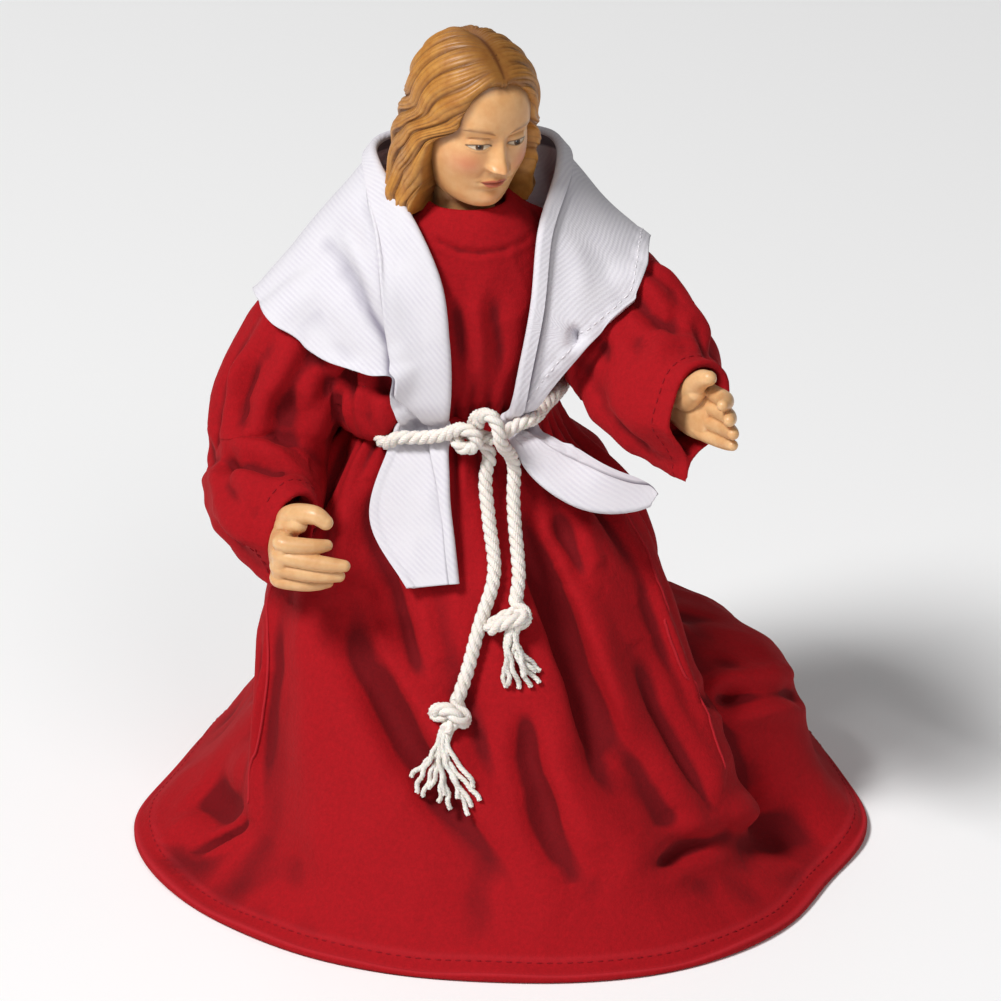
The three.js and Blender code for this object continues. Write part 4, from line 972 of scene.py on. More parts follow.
diagonal, counter = wave_along(-95, 0.74, 0.35), wave_along(-5, 0.4, 0.4)
fluff = twill.noise(3500, 3, 0.5)
twill.relief((diagonal, 0.3, 0.00008), (counter, 0.15, 0.00005), (fluff, 0.2, 0.0001))
twill.paint(
    "#d3cfd7",
    ("#dddadf", diagonal, 1),
    ("#dbd8dd", twill.ranged(twill.noise(260), 0.35, 0.7), 1),
    # painted shade in the hollows of the folds
    ("#8d8797", twill.ranged(twill.kept("hollow"), 0.06, 0.6), 0.5),
    # painted shadow beside the folded layer's free edge
    ("#5d5564", twill.ranged(twill.kept("lapel_shadow_distance"), 0.75, 0.15), 0.85),
    # painted shade along the deep valley in the cape
    ("#8b8594", twill.kept("valley"), 1),
)

shawl = piece_of("white_shawl", sheet, grid_faces(LENGTHWISE, columns, False), twill.material)
running = far_along(sheet[:, CROSSWISE // 2])
wide = np.array([far_along(row) for row in sheet])
# The folded part shows the cloth's other side.
weave = np.minimum(wide, 2 * wide[:, [CROSSWISE]] - wide)

# The flat cloth's own length and width. Down the front on the folded side it hangs flat and its
# diagonal lines run straight as they are seen from the front.
SLOPE_SPARE = 1.09  # the cloth slopes, so it is this much longer than what is seen
hanging = 1 - ease(0.3, 0.44, a)
lean = np.radians(np.where(np.arange(columns) < CROSSWISE, 50, 44))
upward = math.cos(LOOK_DOWN) * sheet[..., 2] + math.sin(LOOK_DOWN) * sheet[..., 1]
straight_across = SLOPE_SPARE * (sheet[..., 0] * np.cos(lean) + upward * np.sin(lean))
straight_along = SLOPE_SPARE * (upward * np.cos(lean) - sheet[..., 0] * np.sin(lean))
meeting = (int(0.37 * LENGTHWISE), CROSSWISE // 2)
straight_across += weave[meeting] - straight_across[meeting]
straight_along += running[meeting[0]] - straight_along[meeting]
flat_along = mix(running[:, None], straight_along, hanging)
flat_across = mix(weave, straight_across, hanging)
cloth_map = shawl.data.uv_layers.new(name="cloth")
corner = np.zeros(len(shawl.data.loops), np.int32)
shawl.data.loops.foreach_get("vertex_index", corner)
flat_places = np.stack([flat_along.ravel(), flat_across.ravel()], 1)[corner]
cloth_map.data.foreach_set("uv", flat_places.astype(np.float32).ravel())
body = shawl.modifiers.new("cloth", "SOLIDIFY")
body.thickness = SHAWL_CLOTH * MM
body.offset = 0
settled(shawl)
# How deep each vertex lies in a fold, for the painted shade in the hollows.
keep(shawl, "hollow", hollows(shawl, 26))
# How far the cloth is from the folded layer's free edge, for a thin painted shadow beside it. Near
# the first end the layers lie closer and the painted shadow is narrower.
lapel_shadow_distance = np.full(sheet.shape[:2], 9.0)
lapel_shadow_distance[:, :CROSSWISE] = wide[:, [CROSSWISE - 1]] - wide[:, :CROSSWISE] - fold_back[:, None]
lapel_shadow_distance += 0.35 * (a < 0.11)
keep(shawl, "lapel_shadow_distance", np.tile(lapel_shadow_distance.ravel(), 2))
# Painted shade along the cape's deep valley, fading in from its upper end.
off_valley, down_valley = distance_to(places_of(shawl), SHAWL_VALLEY)
keep(shawl, "valley", hill(off_valley, 0, 0.8) * ease(0.1, 0.75, down_valley) * (down_valley < 0.999))
stands_for(shawl, "shawl")


# The belt: a three-strand cotton rope wound once round the waist, over both ends of the shawl, and
# tied in front. Each strand is ribbed with its own yarns and laid in a long twist.
ROPE = 2.1
cotton = Finish("cotton_rope", "#f4ece4", 0.8, Specular_IOR_Level=0.2, Sheen_Weight=0.25,
                Sheen_Roughness=0.5, Subsurface_Weight=0.12, Subsurface_Scale=0.0006)
cotton.paint("#e6d9cd", ("#faf5ef", cotton.noise(700, 3, 0.5), 1))
cotton.relief((cotton.noise(5200, 3, 0.7), 0.6, 0.00014), (cotton.noise(1500), 0.3, 0.0002))


class Maker:
    """A geometry tree being made up: a line and its named sizes come in, and a mesh goes out."""

    def __init__(self, name, **sizes):
        self.tree = bpy.data.node_groups.new(name, "GeometryNodeTree")
        self.tree.is_modifier = True
        self.socket("Line", "INPUT", "Geometry")
        for label, value in sizes.items():
            kind = {int: "Int", float: "Float"}[type(value)]
            self.socket(label.replace("_", " "), "INPUT", kind).default_value = value
        self.socket("Finish", "INPUT", "Material")
        self.socket("Mesh", "OUTPUT", "Geometry")
        self.given = self.tree.nodes.new("NodeGroupInput").outputs

    def socket(self, label, way, kind):
        return self.tree.interface.new_socket(label, in_out=way, socket_type="NodeSocket" + kind)

    def add(self, kind, inputs=(), **settings):
        """A node, with its inputs as values or as other nodes' outputs."""
        node = self.tree.nodes.new(kind)
        for key, value in settings.items():
            setattr(node, key, value)
        for slot, value in dict(inputs).items():
            if isinstance(value, bpy.types.NodeSocket):
                self.tree.links.new(value, node.inputs[slot])
            else:
                node.inputs[slot].default_value = value
        return node

    def made(self, kind, inputs=(), **settings):
        """The first output of a geometry node."""
        return self.add("GeometryNode" + kind, inputs, **settings).outputs[0]

    def math(self, operation, a, b=0.0):
        return self.add("ShaderNodeMath", {0: a, 1: b}, operation=operation).outputs[0]

    def times(self, first, *rest):
        for value in rest:
            first = self.math("MULTIPLY", first, value)
        return first

    def vector(self, operation, a, b):
        return self.add("ShaderNodeVectorMath", {0: a, 1: b}, operation=operation).outputs[0]

    def scaled(self, a, by):
        return self.add("ShaderNodeVectorMath", {0: a, "Scale": by}, operation="SCALE").outputs[0]

    def finish(self, shape):
        """Smooths the shape, makes it real and gives it its material, as the tree's mesh."""
        shape = self.made("SetShadeSmooth", {"Geometry": shape})
        shape = self.made("RealizeInstances", {"Geometry": shape})
        shape = self.made("SetMaterial", {"Geometry": shape, "Material": self.given["Finish"]})
        self.tree.links.new(shape, self.tree.nodes.new("NodeGroupOutput").inputs[0])
        return self.tree


laid = Maker(
    "laid_rope", Width=0.0021, Strand_width=0.0011, Strands=3, Lay_length=0.0046, Yarn_ribs=7,
    Rib_depth=0.11, Step=0.0003, Sides=21,
)
given = laid.given
stepped = laid.made("ResampleCurve", {"Curve": given["Line"], "Length": given["Step"]}, mode="LENGTH")
copies = laid.add(
    "GeometryNodeDuplicateElements", {"Geometry": stepped, "Amount": given["Strands"]}, domain="SPLINE"
).outputs
place = laid.add("GeometryNodeSplineParameter").outputs
turns_made = laid.math("DIVIDE", place["Length"], given["Lay length"])
start_turn = laid.math("DIVIDE", copies["Duplicate Index"], given["Strands"])
twist = laid.times(laid.math("ADD", turns_made, start_turn), -2 * math.pi)
side = laid.made("InputNormal")
other = laid.vector("CROSS_PRODUCT", laid.made("InputTangent"), side)
lay_radius = laid.times(laid.math("SUBTRACT", given["Width"], given["Strand width"]), 0.5)
offset = laid.vector(
    "ADD",
    laid.scaled(side, laid.times(laid.math("COSINE", twist), lay_radius)),
    laid.scaled(other, laid.times(laid.math("SINE", twist), lay_radius)),
)
wound = laid.made("SetPosition", {"Geometry": copies[0], "Offset": offset})
tilted = laid.made("SetCurveTilt", {"Curve": wound, "Tilt": laid.times(turns_made, 2 * math.pi * 1.6)})
strand_radius = laid.times(given["Strand width"], 0.5)
circle = laid.made("CurvePrimitiveCircle", {"Resolution": given["Sides"], "Radius": strand_radius})
rib_wave = laid.math("COSINE", laid.times(place["Factor"], given["Yarn ribs"], 2 * math.pi))
rib = laid.scaled(laid.made("InputPosition"), laid.times(rib_wave, given["Rib depth"]))
ribbed = laid.made("SetPosition", {"Geometry": circle, "Offset": rib})
strands = laid.made("CurveToMesh", {"Curve": tilted, "Profile Curve": ribbed, "Fill Caps": True})
rope_tree = laid.finish(strands)


def grown(name, tree, lines, finish, **inputs):
    """A plain mesh piece that a tree grows along lines given in millimetres."""
    curve = bpy.data.curves.new(name, "CURVE")
    curve.dimensions = "3D"
    for line in lines:
        line = np.asarray(line, float) * MM
        spline = curve.splines.new("POLY")
        spline.points.add(len(line) - 1)
        spline.points.foreach_set("co", np.column_stack([line, np.ones(len(line))]).ravel())
    source = put(name + "_line", curve)
    grower = source.modifiers.new("grower", "NODES")
    grower.node_group = tree
    slots = {
        item.name: item.identifier for item in tree.interface.items_tree if item.in_out == "INPUT"
    }
    for label, value in {"Finish": finish, **inputs}.items():
        grower[slots[label.replace("_", " ")]] = value
    mesh = bpy.data.meshes.new_from_object(source.evaluated_get(bpy.context.evaluated_depsgraph_get()))
    bpy.data.objects.remove(source)
    bpy.data.curves.remove(curve)
    mesh.name = name
    return put(name, mesh)


def smooth_line(points, step=0.4):
    """A smooth line through places, with a point every step millimetres."""
    points = np.asarray(points, float)
    chord = np.cumsum([0, *np.linalg.norm(np.diff(points, axis=0), axis=1) ** 0.75])
    fine = through(np.column_stack([chord, points]))(np.linspace(0, chord[-1], 40 * len(points)))
    far = far_along(fine)
    stops = np.linspace(0, far[-1], max(int(far[-1] / step), 8))
    return drawn_at(stops, far, fine)


dressed_skin = surface_of(dress_top, dress_skirt, shawl)
turns = np.linspace(28, 348, 90)
over_shawl = 1 - ease(38, 48, np.abs((turns + 180) % 360 - 180))
loop = trunk_point(belt_height(turns), turns, 0.75 + ROPE / 2 + 2 * over_shawl)
bagged = between(turns, 250, 258, 305, 317)[:, None]  # under the bodice's slack cloth
for rise, rounds in ((0.12, 3), (0, 0)):
    free = blurred(pushed_off(loop, dressed_skin, ROPE / 2 + rise), rounds, along=(0,))
    loop = mix(free, loop, bagged)


def on_skirt(x, h):
    """The place in front of the skirt at height h and side x, a rope's radius off it."""
    low, high = -60.0, 80.0
    for _ in range(30):
        turn = (low + high) / 2
        if trunk_point(h, turn)[0] < x:
            low = turn
        else:
            high = turn
    return trunk_point(h, low, ROPE / 2 + 0.75 + 1.6 * ROPE * float(hill(h, WAIST, 7)))


knot_foot = on_skirt(-2.7, 69)
# Behind the knot the rope comes in from the left side, and on its other side it winds the knot.
comes_in = [
    [-2.6, -19.4, 76.4], [-3.9, -18.7, 75], [-3.7, -18.4, 73.3], [-2.2, -18.8, 72.2],
    [-0.4, -19.1, 72.5],
]
winds = [
    [-8.2, -19.2, 72.9], [-6.7, -20, 74], [-5.3, -20.8, 74.5], [-4, -21.2, 74],
    [-3.4, -21, 72.9], [-3.8, -20.7, 71.8], [-4.9, -20.4, 71.2], [-6.2, -19.9, 71.6],
    [-6.3, -18.8, 72.6], [-5.1, -18.2, 73.1], [-3.7, -18.8, 72.2], knot_foot + [-0.2, 0.15, 1.6],
    knot_foot + [0, 0, 0.4], knot_foot + [-0.05, 0, -0.7],
]
belt_line = smooth_line(np.concatenate([comes_in, loop[::3], winds]), 0.5)
belt_rope = grown("belt_rope", rope_tree, [belt_line], cotton.material)
stands_for(belt_rope, "belt")


# The rope's two ends: they leave the knot, one straight down and one in a small arch, and hang in
# front of the skirt. Each is the belt's own rope, cut to length and knotted near its end.
ARCH = [
    [-3.2, -20.4, 75.2], [-2.7, -21.6, 77.2], [-1.6, -22.5, 77.6], [-0.4, -22.9, 76], [0, -22.9, 73.2],
]
# Places down the front of the skirt: across and up.
LONG_FALL = [(-2.7, 69), (-2.9, 66), (-2.1, 60.2), (-1.3, 53.5), (-3.2, 47), (-5, 40), (-6.3, 36.2)]
SHORT_FALL = [(0.3, 68.6), (0.8, 64.6), (1.3, 60.2), (2, 54), (1.7, 49.8)]
cords = {}
for name, arch, fall in (("long", [], LONG_FALL), ("short", ARCH, SHORT_FALL)):
    route = np.array([*arch, *(on_skirt(x, h) for x, h in fall)])
    line = smooth_line(route, 0.5)
    line = blurred(pushed_off(line, dressed_skin, ROPE / 2 + 0.15), 2, along=(0,))
    line[0], line[-1] = route[0], route[-1]
    line = smooth_line([*line[:-1:4], line[-1]], 0.5)
    cord = grown(name + "_cord", rope_tree, [line], cotton.material)
    stands_for(cord, name + "_cord_end")
    cords[name] = (cord, line)


# The knots and the frayed ends: an overhand knot in each rope end, below which the strands are
# untwisted into their yarns. Each yarn is plied and still holds the waves of the rope's lay.
KNOTS = {
    "long": [
        [-0.45, 0, 0], [0, 0, 0], [0.35, 0.25, 0], [0.75, 0.78, 0.1], [1.15, 0.98, 0.4],
        [1.05, 0.5, 0.85], [0.7, -0.2, 1], [0.8, -0.95, 0.75], [1.25, -1.2, 0.35],
        [1.5, -0.7, -0.05], [1.3, 0.05, -0.15], [0.95, 0.5, 0.1], [1.25, 0.45, 0.5],
        [1.75, 0.1, 0.4], [2.3, 0, 0.25],
    ],
    "short": [
        [-0.45, 0, 0], [0, 0, 0], [0.35, 0.4, 0.05], [0.8, 0.75, 0.35], [1.2, 0.35, 0.85],
        [1.55, -0.6, 0.9], [2.05, -1.45, 0.5], [1.75, -1.45, 0], [1, -0.5, -0.15],
        [0.6, 0.3, 0.05], [0.95, 0.85, 0.2], [1.4, 0.55, 0.45], [1.8, 0.1, 0.4], [2.3, 0.05, 0.25],
    ],
}
# Where the yarns of each frayed end stop, just in front of the skirt.
FRAYED_ENDS = {
    "long": [
        (-12.9, -37.0, 25.6), (-12.7, -37.8, 23.7), (-11.3, -38.3, 23.1), (-9.3, -39, 22.6),
        (-7.1, -40.0, 21.8), (-5.1, -40.7, 21.4), (-4.3, -40.4, 22.6), (-2.9, -40.1, 23.4),
        (-10.4, -38.4, 24.4), (-8.2, -39.6, 24.0), (-6.0, -40.2, 23.7), (-3.7, -39.8, 25.2),
    ],
    "short": [
        (0.3, -32.6, 38.3), (2.9, -33.0, 38.2), (5.2, -32.5, 39.0), (6.0, -31.5, 40.2),
        (1.6, -33.2, 38.9), (4.1, -33.3, 38.7), (0.9, -32.4, 40.2), (5.0, -32.6, 40.8),
        (3.4, -33.6, 40.4),
    ],
}
for name, (cord, line) in cords.items():
    tip = line[-1]
    down = unit(line[-1] - line[-5])
    across = unit(np.array([1.0, 0, 0]) - down[0] * down)
    off = np.cross(down, across)
    if off[1] > 0:
        off = -off

    def spot(a, b, c):
        return tip + (down * a + across * b + off * c) * ROPE

    knot_line = smooth_line([spot(*p) for p in KNOTS[name]], 0.25)
    knot_line[6:] = pushed_off(knot_line[6:], dressed_skin, ROPE / 2)
    knot = grown(
        name + "_knot", rope_tree, [knot_line], cotton.material, Step=0.00022, Lay_length=0.0055
    )
    lines = []
    t = np.linspace(0, 1, 46)[:, None]
    for i, end in enumerate(FRAYED_ENDS[name]):
        start = spot(1.95, 0.34 * math.cos(i * 2.4), 0.3 + 0.28 * math.sin(i * 2.4))
        far = np.linalg.norm(end - start)
        # Out of the knot down the rope's own line, then over to where it stops.
        steer = start + down * 0.42 * far + off * 0.8
        turn_in = end + (start - end) * 0.3 + (across * random.uniform(-0.9, 0.9) + off * 0.7)
        yarn = (1 - t) ** 3 * start + 3 * (1 - t) ** 2 * t * steer
        yarn = yarn + 3 * (1 - t) * t * t * turn_in + t**3 * end
        phase, crimp = random.uniform(0, 6.28, 2), 0.17 * ease(0.05, 0.4, t)
        waves = t * far * 2 * np.pi / random.uniform(2.6, 3.8)
        yarn = yarn + across * crimp * np.sin(waves + phase[0])
        yarn = yarn + off * crimp * np.cos(waves + phase[1])
        yarn = yarn + across * 0.5 * ease(0.75, 1.0, t) * random.uniform(-1, 1)
        lines.append(blurred(pushed_off(yarn, dressed_skin, 0.5), 1, along=(0,)))
    yarns = grown(
        name + "_yarns", rope_tree, lines, cotton.material, Width=0.00082, Strand_width=0.00048,
        Strands=3, Lay_length=0.0019, Yarn_ribs=4, Sides=12, Step=0.00018,
    )
    for piece in (knot, yarns):
        stands_for(piece, name + "_tassel")


# The seams and stitches: the skirt's side seams stand up a little, with a painted highlight on their
# folded edges. The hem, the cuffs and the underarm seam are sewn with red thread, the shawl's hem with
# white.
SIDE_SEAMS = [
    [[-31.6, -6, 55], [-33.7, -8, 48], [-34.5, -9.5, 42.8], [-34.7, -13.9, 38.7], [-34.7, -16.4, 33.9],
     [-35.5, -17.4, 27.1], [-36.7, -17.2, 18.6], [-37.5, -18.6, 12]],
    [[17, -9, 60], [21.3, -10.8, 51.3], [22.6, -13.2, 47.5], [23.7, -15.1, 43.6], [26.7, -17.9, 35.3],
     [29.3, -19.1, 29.6], [31.4, -20.5, 25.1], [33.2, -22.9, 19.8]],
]
UNDERARM_SEAMS = [
    [[-41, -20, 60], [-39.5, -24.2, 58.2], [-37.5, -25.5, 56.4], [-36, -24.9, 53.7],
     [-34.6, -25.2, 51.6]],
    [[29, -20, 75.5], [30, -24.5, 73.6], [29.7, -26.2, 71.5]],
]
CUFF_STITCH = 2.4  # the cuff's thread runs this far inside its edge
sewing = Maker("row_of_stitches", Pitch=0.0015, Length=0.0011, Thread=0.00028, Unevenness=0.12, Seed=4)
given = sewing.given
spaced = sewing.add(
    "GeometryNodeCurveToPoints", {"Curve": given["Line"], "Length": given["Pitch"]}, mode="LENGTH"
).outputs
thread_radius = sewing.times(given["Thread"], 0.5)
bead = sewing.made("MeshUVSphere", {"Segments": 8, "Rings": 6, "Radius": thread_radius})
longer = sewing.math("DIVIDE", given["Length"], given["Thread"])
stretch = sewing.add("ShaderNodeCombineXYZ", {"X": 1.0, "Y": 1.0, "Z": longer}).outputs[0]
least = sewing.math("SUBTRACT", 1.0, given["Unevenness"])
uneven = sewing.add(
    "FunctionNodeRandomValue", {"Min": least, "Max": 1.0, "Seed": given["Seed"]}, data_type="FLOAT"
)
uneven_value = next(output for output in uneven.outputs if output.enabled)
facing = sewing.add("FunctionNodeAlignRotationToVector", {"Vector": spaced["Tangent"]}, axis="Z")
stitch_tree = sewing.finish(sewing.made("InstanceOnPoints", {
    "Points": spaced["Points"], "Instance": bead, "Rotation": facing.outputs[0],
    "Scale": sewing.scaled(stretch, uneven_value),
}))
cloth_skin = surface_of(dress_top, dress_skirt)


def laid_on(line, lift):
    """A line drawn down onto the dress, lifted off it by some millimetres."""
    spots = []
    for p in smooth_line(line, 0.35):
        spot, away, _, _ = cloth_skin.find_nearest(Vector(p), 6)
        spots.append(np.array(spot + away * lift))
    return blurred(np.array(spots), 2, along=(0,))


skirt_seams = grown(
    "skirt_seams", rope_tree, [laid_on(line, 0.02) for line in SIDE_SEAMS], red.material,
    Width=0.0005, Strand_width=0.0005, Strands=1, Yarn_ribs=1, Rib_depth=0.0, Sides=10, Step=0.0004,
)
# The side seams carry the painted highlight all along.
keep(skirt_seams, "painted_highlight", np.full(len(skirt_seams.data.vertices), 0.9))
red_lines = [[*hem_line, hem_line[0]]]
for _, fore, lean in SLEEVES.values():
    rings, ring = swept(fore, 30, 160, across=lean, end_dome=False, narrow=sleeve_narrow)
    ring(-1, -CUFF_STITCH, 1)
    red_lines.append(laid_on([*rings[-1], rings[-1][0]], 0.04))
red_lines += [laid_on(line, 0.04) for line in UNDERARM_SEAMS]
red_thread = Finish("red_thread", "#8a1019", 0.75, Specular_IOR_Level=0.15)
red_thread.paint("#7c0a13", ("#99141f", red_thread.noise(2500, 3, 0.5), 1))
white_thread = Finish("white_thread", "#e9e6e8", 0.6, Sheen_Weight=0.1)
white_thread.paint("#d9d4da", ("#efecee", white_thread.noise(2500, 3, 0.5), 1))
dress_stitches = grown(
    "dress_stitches", stitch_tree, red_lines, red_thread.material, Pitch=0.0015, Length=0.0010,
    Thread=0.00026, Seed=5,
)
shawl_stitches = grown(
    "shawl_stitches", stitch_tree, [shawl_hem], white_thread.material, Pitch=0.0013, Length=0.0009,
    Thread=0.00024, Seed=8,
)
stands_for(skirt_seams, "dress")
stands_for(dress_stitches, "dress")
stands_for(shawl_stitches, "shawl")


# The head: carved from one block of wood with its hair and its neck, painted by hand and varnished.
# It is drawn from the chin at 0 to the crown at 24, facing forwards, then turned and put in place.
HEAD_POSE = (
    Matrix.Translation((-5.7, -5.6, 107.4))
    @ Matrix.Rotation(math.radians(28), 4, "Z")
    @ Matrix.Rotation(math.radians(13), 4, "X")
    @ Matrix.Rotation(math.radians(2.5), 4, "Y")
    @ Matrix.Scale(23.2 / 24, 4)
)
HEAD_TURN = np.array(HEAD_POSE.to_3x3())
HEAD_PLACE = np.array(HEAD_POSE.translation)
EYE_ACROSS, EYE_HEIGHT, EYE_REACH = 3.2, 11.9, 1.75
skull_reach = through([
    [-0.6, 1.2, -1.2, -3.6, 1.2], [-0.35, 2.6, -2.6, -5.2, 2.2], [0, 3.6, -3.6, -6.6, 3],
    [0.8, 4.9, -4.9, -8.1, 4], [2.2, 6, -6, -8.7, 5], [4, 6.9, -6.9, -8.8, 6],
    [6, 7.5, -7.5, -9, 7], [8, 7.9, -7.9, -9.2, 8], [10, 8.1, -8.1, -9.2, 9],
    [12, 8.1, -8.1, -9.2, 9.6], [14, 8.2, -8.2, -9.4, 9.9], [16, 8.1, -8.1, -9.4, 10],
    [18, 7.6, -7.6, -8.9, 9.6], [20, 6.7, -6.7, -7.9, 8.6], [22, 5, -5, -5.9, 6.4],
    [23.4, 2.8, -2.8, -3.2, 3.6], [24, 0.9, -0.9, -1, 1.1],
])
# Hills and hollows of the face: size, how far across and how wide, how high up and how tall.
FEATURES = [
    (0.3, 0, 0.8, 8.95, 0.7),  # tip of the nose
    (0.72, 1.22, 0.5, 8.45, 0.6),  # its wings
    (-0.3, 0.7, 0.32, 7.85, 0.3),  # nostrils
    (-1, 3.1, 2.1, 12.3, 1.5),  # eye sockets
    (-0.4, 1.75, 0.7, 12.3, 1),  # beside the nose's bridge
    (0.82, EYE_ACROSS, 1.75, EYE_HEIGHT, 1.25),  # eyeballs
    (0.3, 3.4, 2.6, 14.5, 0.9),  # brows
    (0.6, 4.4, 2.3, 8.6, 2.6),  # cheeks
    (0.5, 0, 2.7, 5.8, 1.7),  # round of the mouth
    (-0.12, 0, 0.34, 6.95, 0.5),  # groove above the lip
    (0.44, 0, 1.3, 5.02, 0.4),  # lower lip
    (-0.32, 0, 1.9, 4.1, 0.55),  # below the lip
    (-0.14, 2.25, 0.35, 5.55, 0.35),  # corners of the mouth
    (0.66, 0, 1.9, 2.2, 1.35),  # chin
    (-0.35, 7, 1.2, 14, 2.5),  # temples
]
BLUSH = [(0.75, 4.5, 1.9, 8.8, 1.8), (0.25, 0, 1, 8.6, 0.9), (0.3, 0, 2, 2.6, 1.2)]
SHADE = [(0.5, 1.5, 0.35, 12.1, 0.8), (0.75, 0.7, 0.28, 7.82, 0.2), (0.4, 0, 1.5, 4.15, 0.35)]


def posed(points):
    return np.asarray(points, float) @ HEAD_TURN.T + HEAD_PLACE


def eye_edges(side):
    """How far across an eye a place is, from -1 to 1, and the heights of its lids there."""
    across = (side - EYE_ACROSS) / EYE_REACH
    bow = 1 - np.clip(across, -1, 1) ** 2
    level = EYE_HEIGHT - 0.05 - 0.04 * across
    return across, level + 0.3 * bow**0.8, level - 0.42 * bow


def spread(side, h, rows):
    """The sum of soft round spots on both sides of the face."""
    return sum(size * hill(side, at, wide) * hill(h, up, tall) for size, at, wide, up, tall in rows)


def smile_line(side, h, width):
    """The fold from the nose to the mouth's corner."""
    return hill(side - 0.38 * (8.2 - h), 1.95, width)


def mouth_height(side):
    return 5.52 + 0.05 * np.cos(side * 2.4)


def face_relief(x, h):
    """How far the face's features stand off the bare skull, x across and h up."""
    side = np.abs(x)
    bridge = np.clip((13.2 - h) / 4.6, 0, 1)
    nose = (0.5 + 1.95 * bridge**1.2) * hill(x, 0, 0.8 + 0.42 * bridge)
    nose = nose * between(h, 7.55, 8.5, 12.2, 14.4)
    across, upper, lower = eye_edges(side)
    lids = 0.2 * between(h - upper, -0.16, 0.04, 0.35, 0.95) - 0.2 * hill(h, upper + 1, 0.2)
    lids = lids + 0.14 * between(lower - h, -0.16, 0.06, 0.2, 0.7)
    lids = lids * (1 - ease(0.75, 1.15, np.abs(across)))
    groove = -0.14 * smile_line(side, h, 0.5) * between(h, 5.8, 6.8, 7.8, 9)
    bow = 1 - np.clip(side / 2.15, 0, 1) ** 2
    upper_lip = 0.36 * bow * hill(h, 5.86 + 0.2 * bow - 0.1 * hill(x, 0, 0.4), 0.36)
    parting = -0.26 * hill(x, 0, 1.8) * hill(h, mouth_height(side), 0.15)
    return spread(side, h, FEATURES) + nose + lids + groove + upper_lip + parting


def face_paint(x, h):
    """How much of each colour lies on the face, as the painter's brush laid it."""
    side = np.abs(x)
    across, upper, lower = eye_edges(side)
    inside = 1 - ease(0.9, 1, np.abs(across))
    opening = inside * ease(-0.06, 0.06, h - lower) * (1 - ease(-0.06, 0.06, h - upper))
    gaze = np.hypot(side - EYE_ACROSS, h - (EYE_HEIGHT - 0.1))
    gleam = np.hypot(x - np.sign(x) * EYE_ACROSS + 0.2, h - 12)
    brow_line = 13.75 + 0.95 * (1 - ((side - 3.7) / 2.8) ** 2)
    brow_width = 0.27 * between(side, 1, 2, 4.2, 6.3) + 0.02
    lashes = 0.95 * hill(h, upper + 0.02, 0.13) + 0.4 * hill(h, lower - 0.02, 0.09) * inside
    lip_bow = np.sqrt(np.clip(1 - (side / 2.1) ** 2, 0, 1))
    lip_top = 5.58 + 0.7 * lip_bow - 0.16 * hill(x, 0, 0.35)
    lip_foot = 5.5 - 0.95 * np.clip(1 - (side / 1.85) ** 2, 0, 1)
    return {
        "blush": spread(side, h, BLUSH),
        "shade": spread(side, h, SHADE) + 0.6 * hill(h, upper + 1, 0.2) * inside
        + 0.35 * smile_line(side, h, 0.35) * between(h, 6, 7, 7.8, 8.8),
        "lips": (1 - ease(-0.1, 0.1, h - lip_top)) * ease(-0.12, 0.12, h - lip_foot) * (side < 2.15),
        "mouth_line": 0.8 * hill(h, mouth_height(side), 0.1) * (1 - ease(1.7, 2.25, side)),
        "eye_white": opening,
        "iris": opening * (1 - ease(0.52, 0.64, gaze)),
        "pupil": opening * (1 - ease(0.22, 0.32, gaze)),
        "glint": opening * (1 - ease(0.05, 0.13, gleam)),
        "lashes": lashes * (1 - ease(1, 1.12, np.abs(across))),
        "brows": 0.85 * hill(h, brow_line, brow_width) * (brow_width > 0.05),
    }


# The rows lie closest at the mouth, the nose and the eyes: where each stretch starts, and its rows.
STRETCHES = [(-0.6, 12), (0.8, 30), (4.4, 66), (9.4, 20), (11.1, 40), (13.1, 20), (14.6, 24)]
heights = [
    np.linspace(start, end, rows, endpoint=False)
    for (start, rows), (end, _) in zip(STRETCHES, STRETCHES[1:])
]
heights = np.concatenate([*heights, np.linspace(14.6, 24, 24)])
in_front = np.linspace(-158, -22, 330, endpoint=False)
angles = np.radians([*in_front, *np.linspace(-22, 202, 70, endpoint=False)])
h, angle = np.meshgrid(heights, angles, indexing="ij")
base = oval_radius(skull_reach(heights)[:, None, :], np.array([0, 0.5]), angle, 2.15)
front = ease(0.12, 0.55, -np.sin(angle))
across_face = base * np.cos(angle)
radius = base + face_relief(across_face, h) * front
head_drawn = np.stack([radius * np.cos(angle), 0.5 + radius * np.sin(angle), h], -1)


def painted_wood(name):
    """Thin varnish over wood that shows its grain, and where the second of two close tones lies."""
    made = Finish(name, "#e2ae76", 0.42, Coat_Weight=0.25, Coat_Roughness=0.3, Specular_IOR_Level=0.4,
                  Subsurface_Weight=0.06, Subsurface_Scale=0.0012)
    grain = made.noise(300, 4, 0.5, (1, 1, 0.25))
    made.relief((made.noise(2600), 0.12, 0.00005), (grain, 0.12, 0.0002))
    return made, made.ranged(made.noise(420, 4), 0.3, 0.7)


skin, mottle = painted_wood("painted_skin")
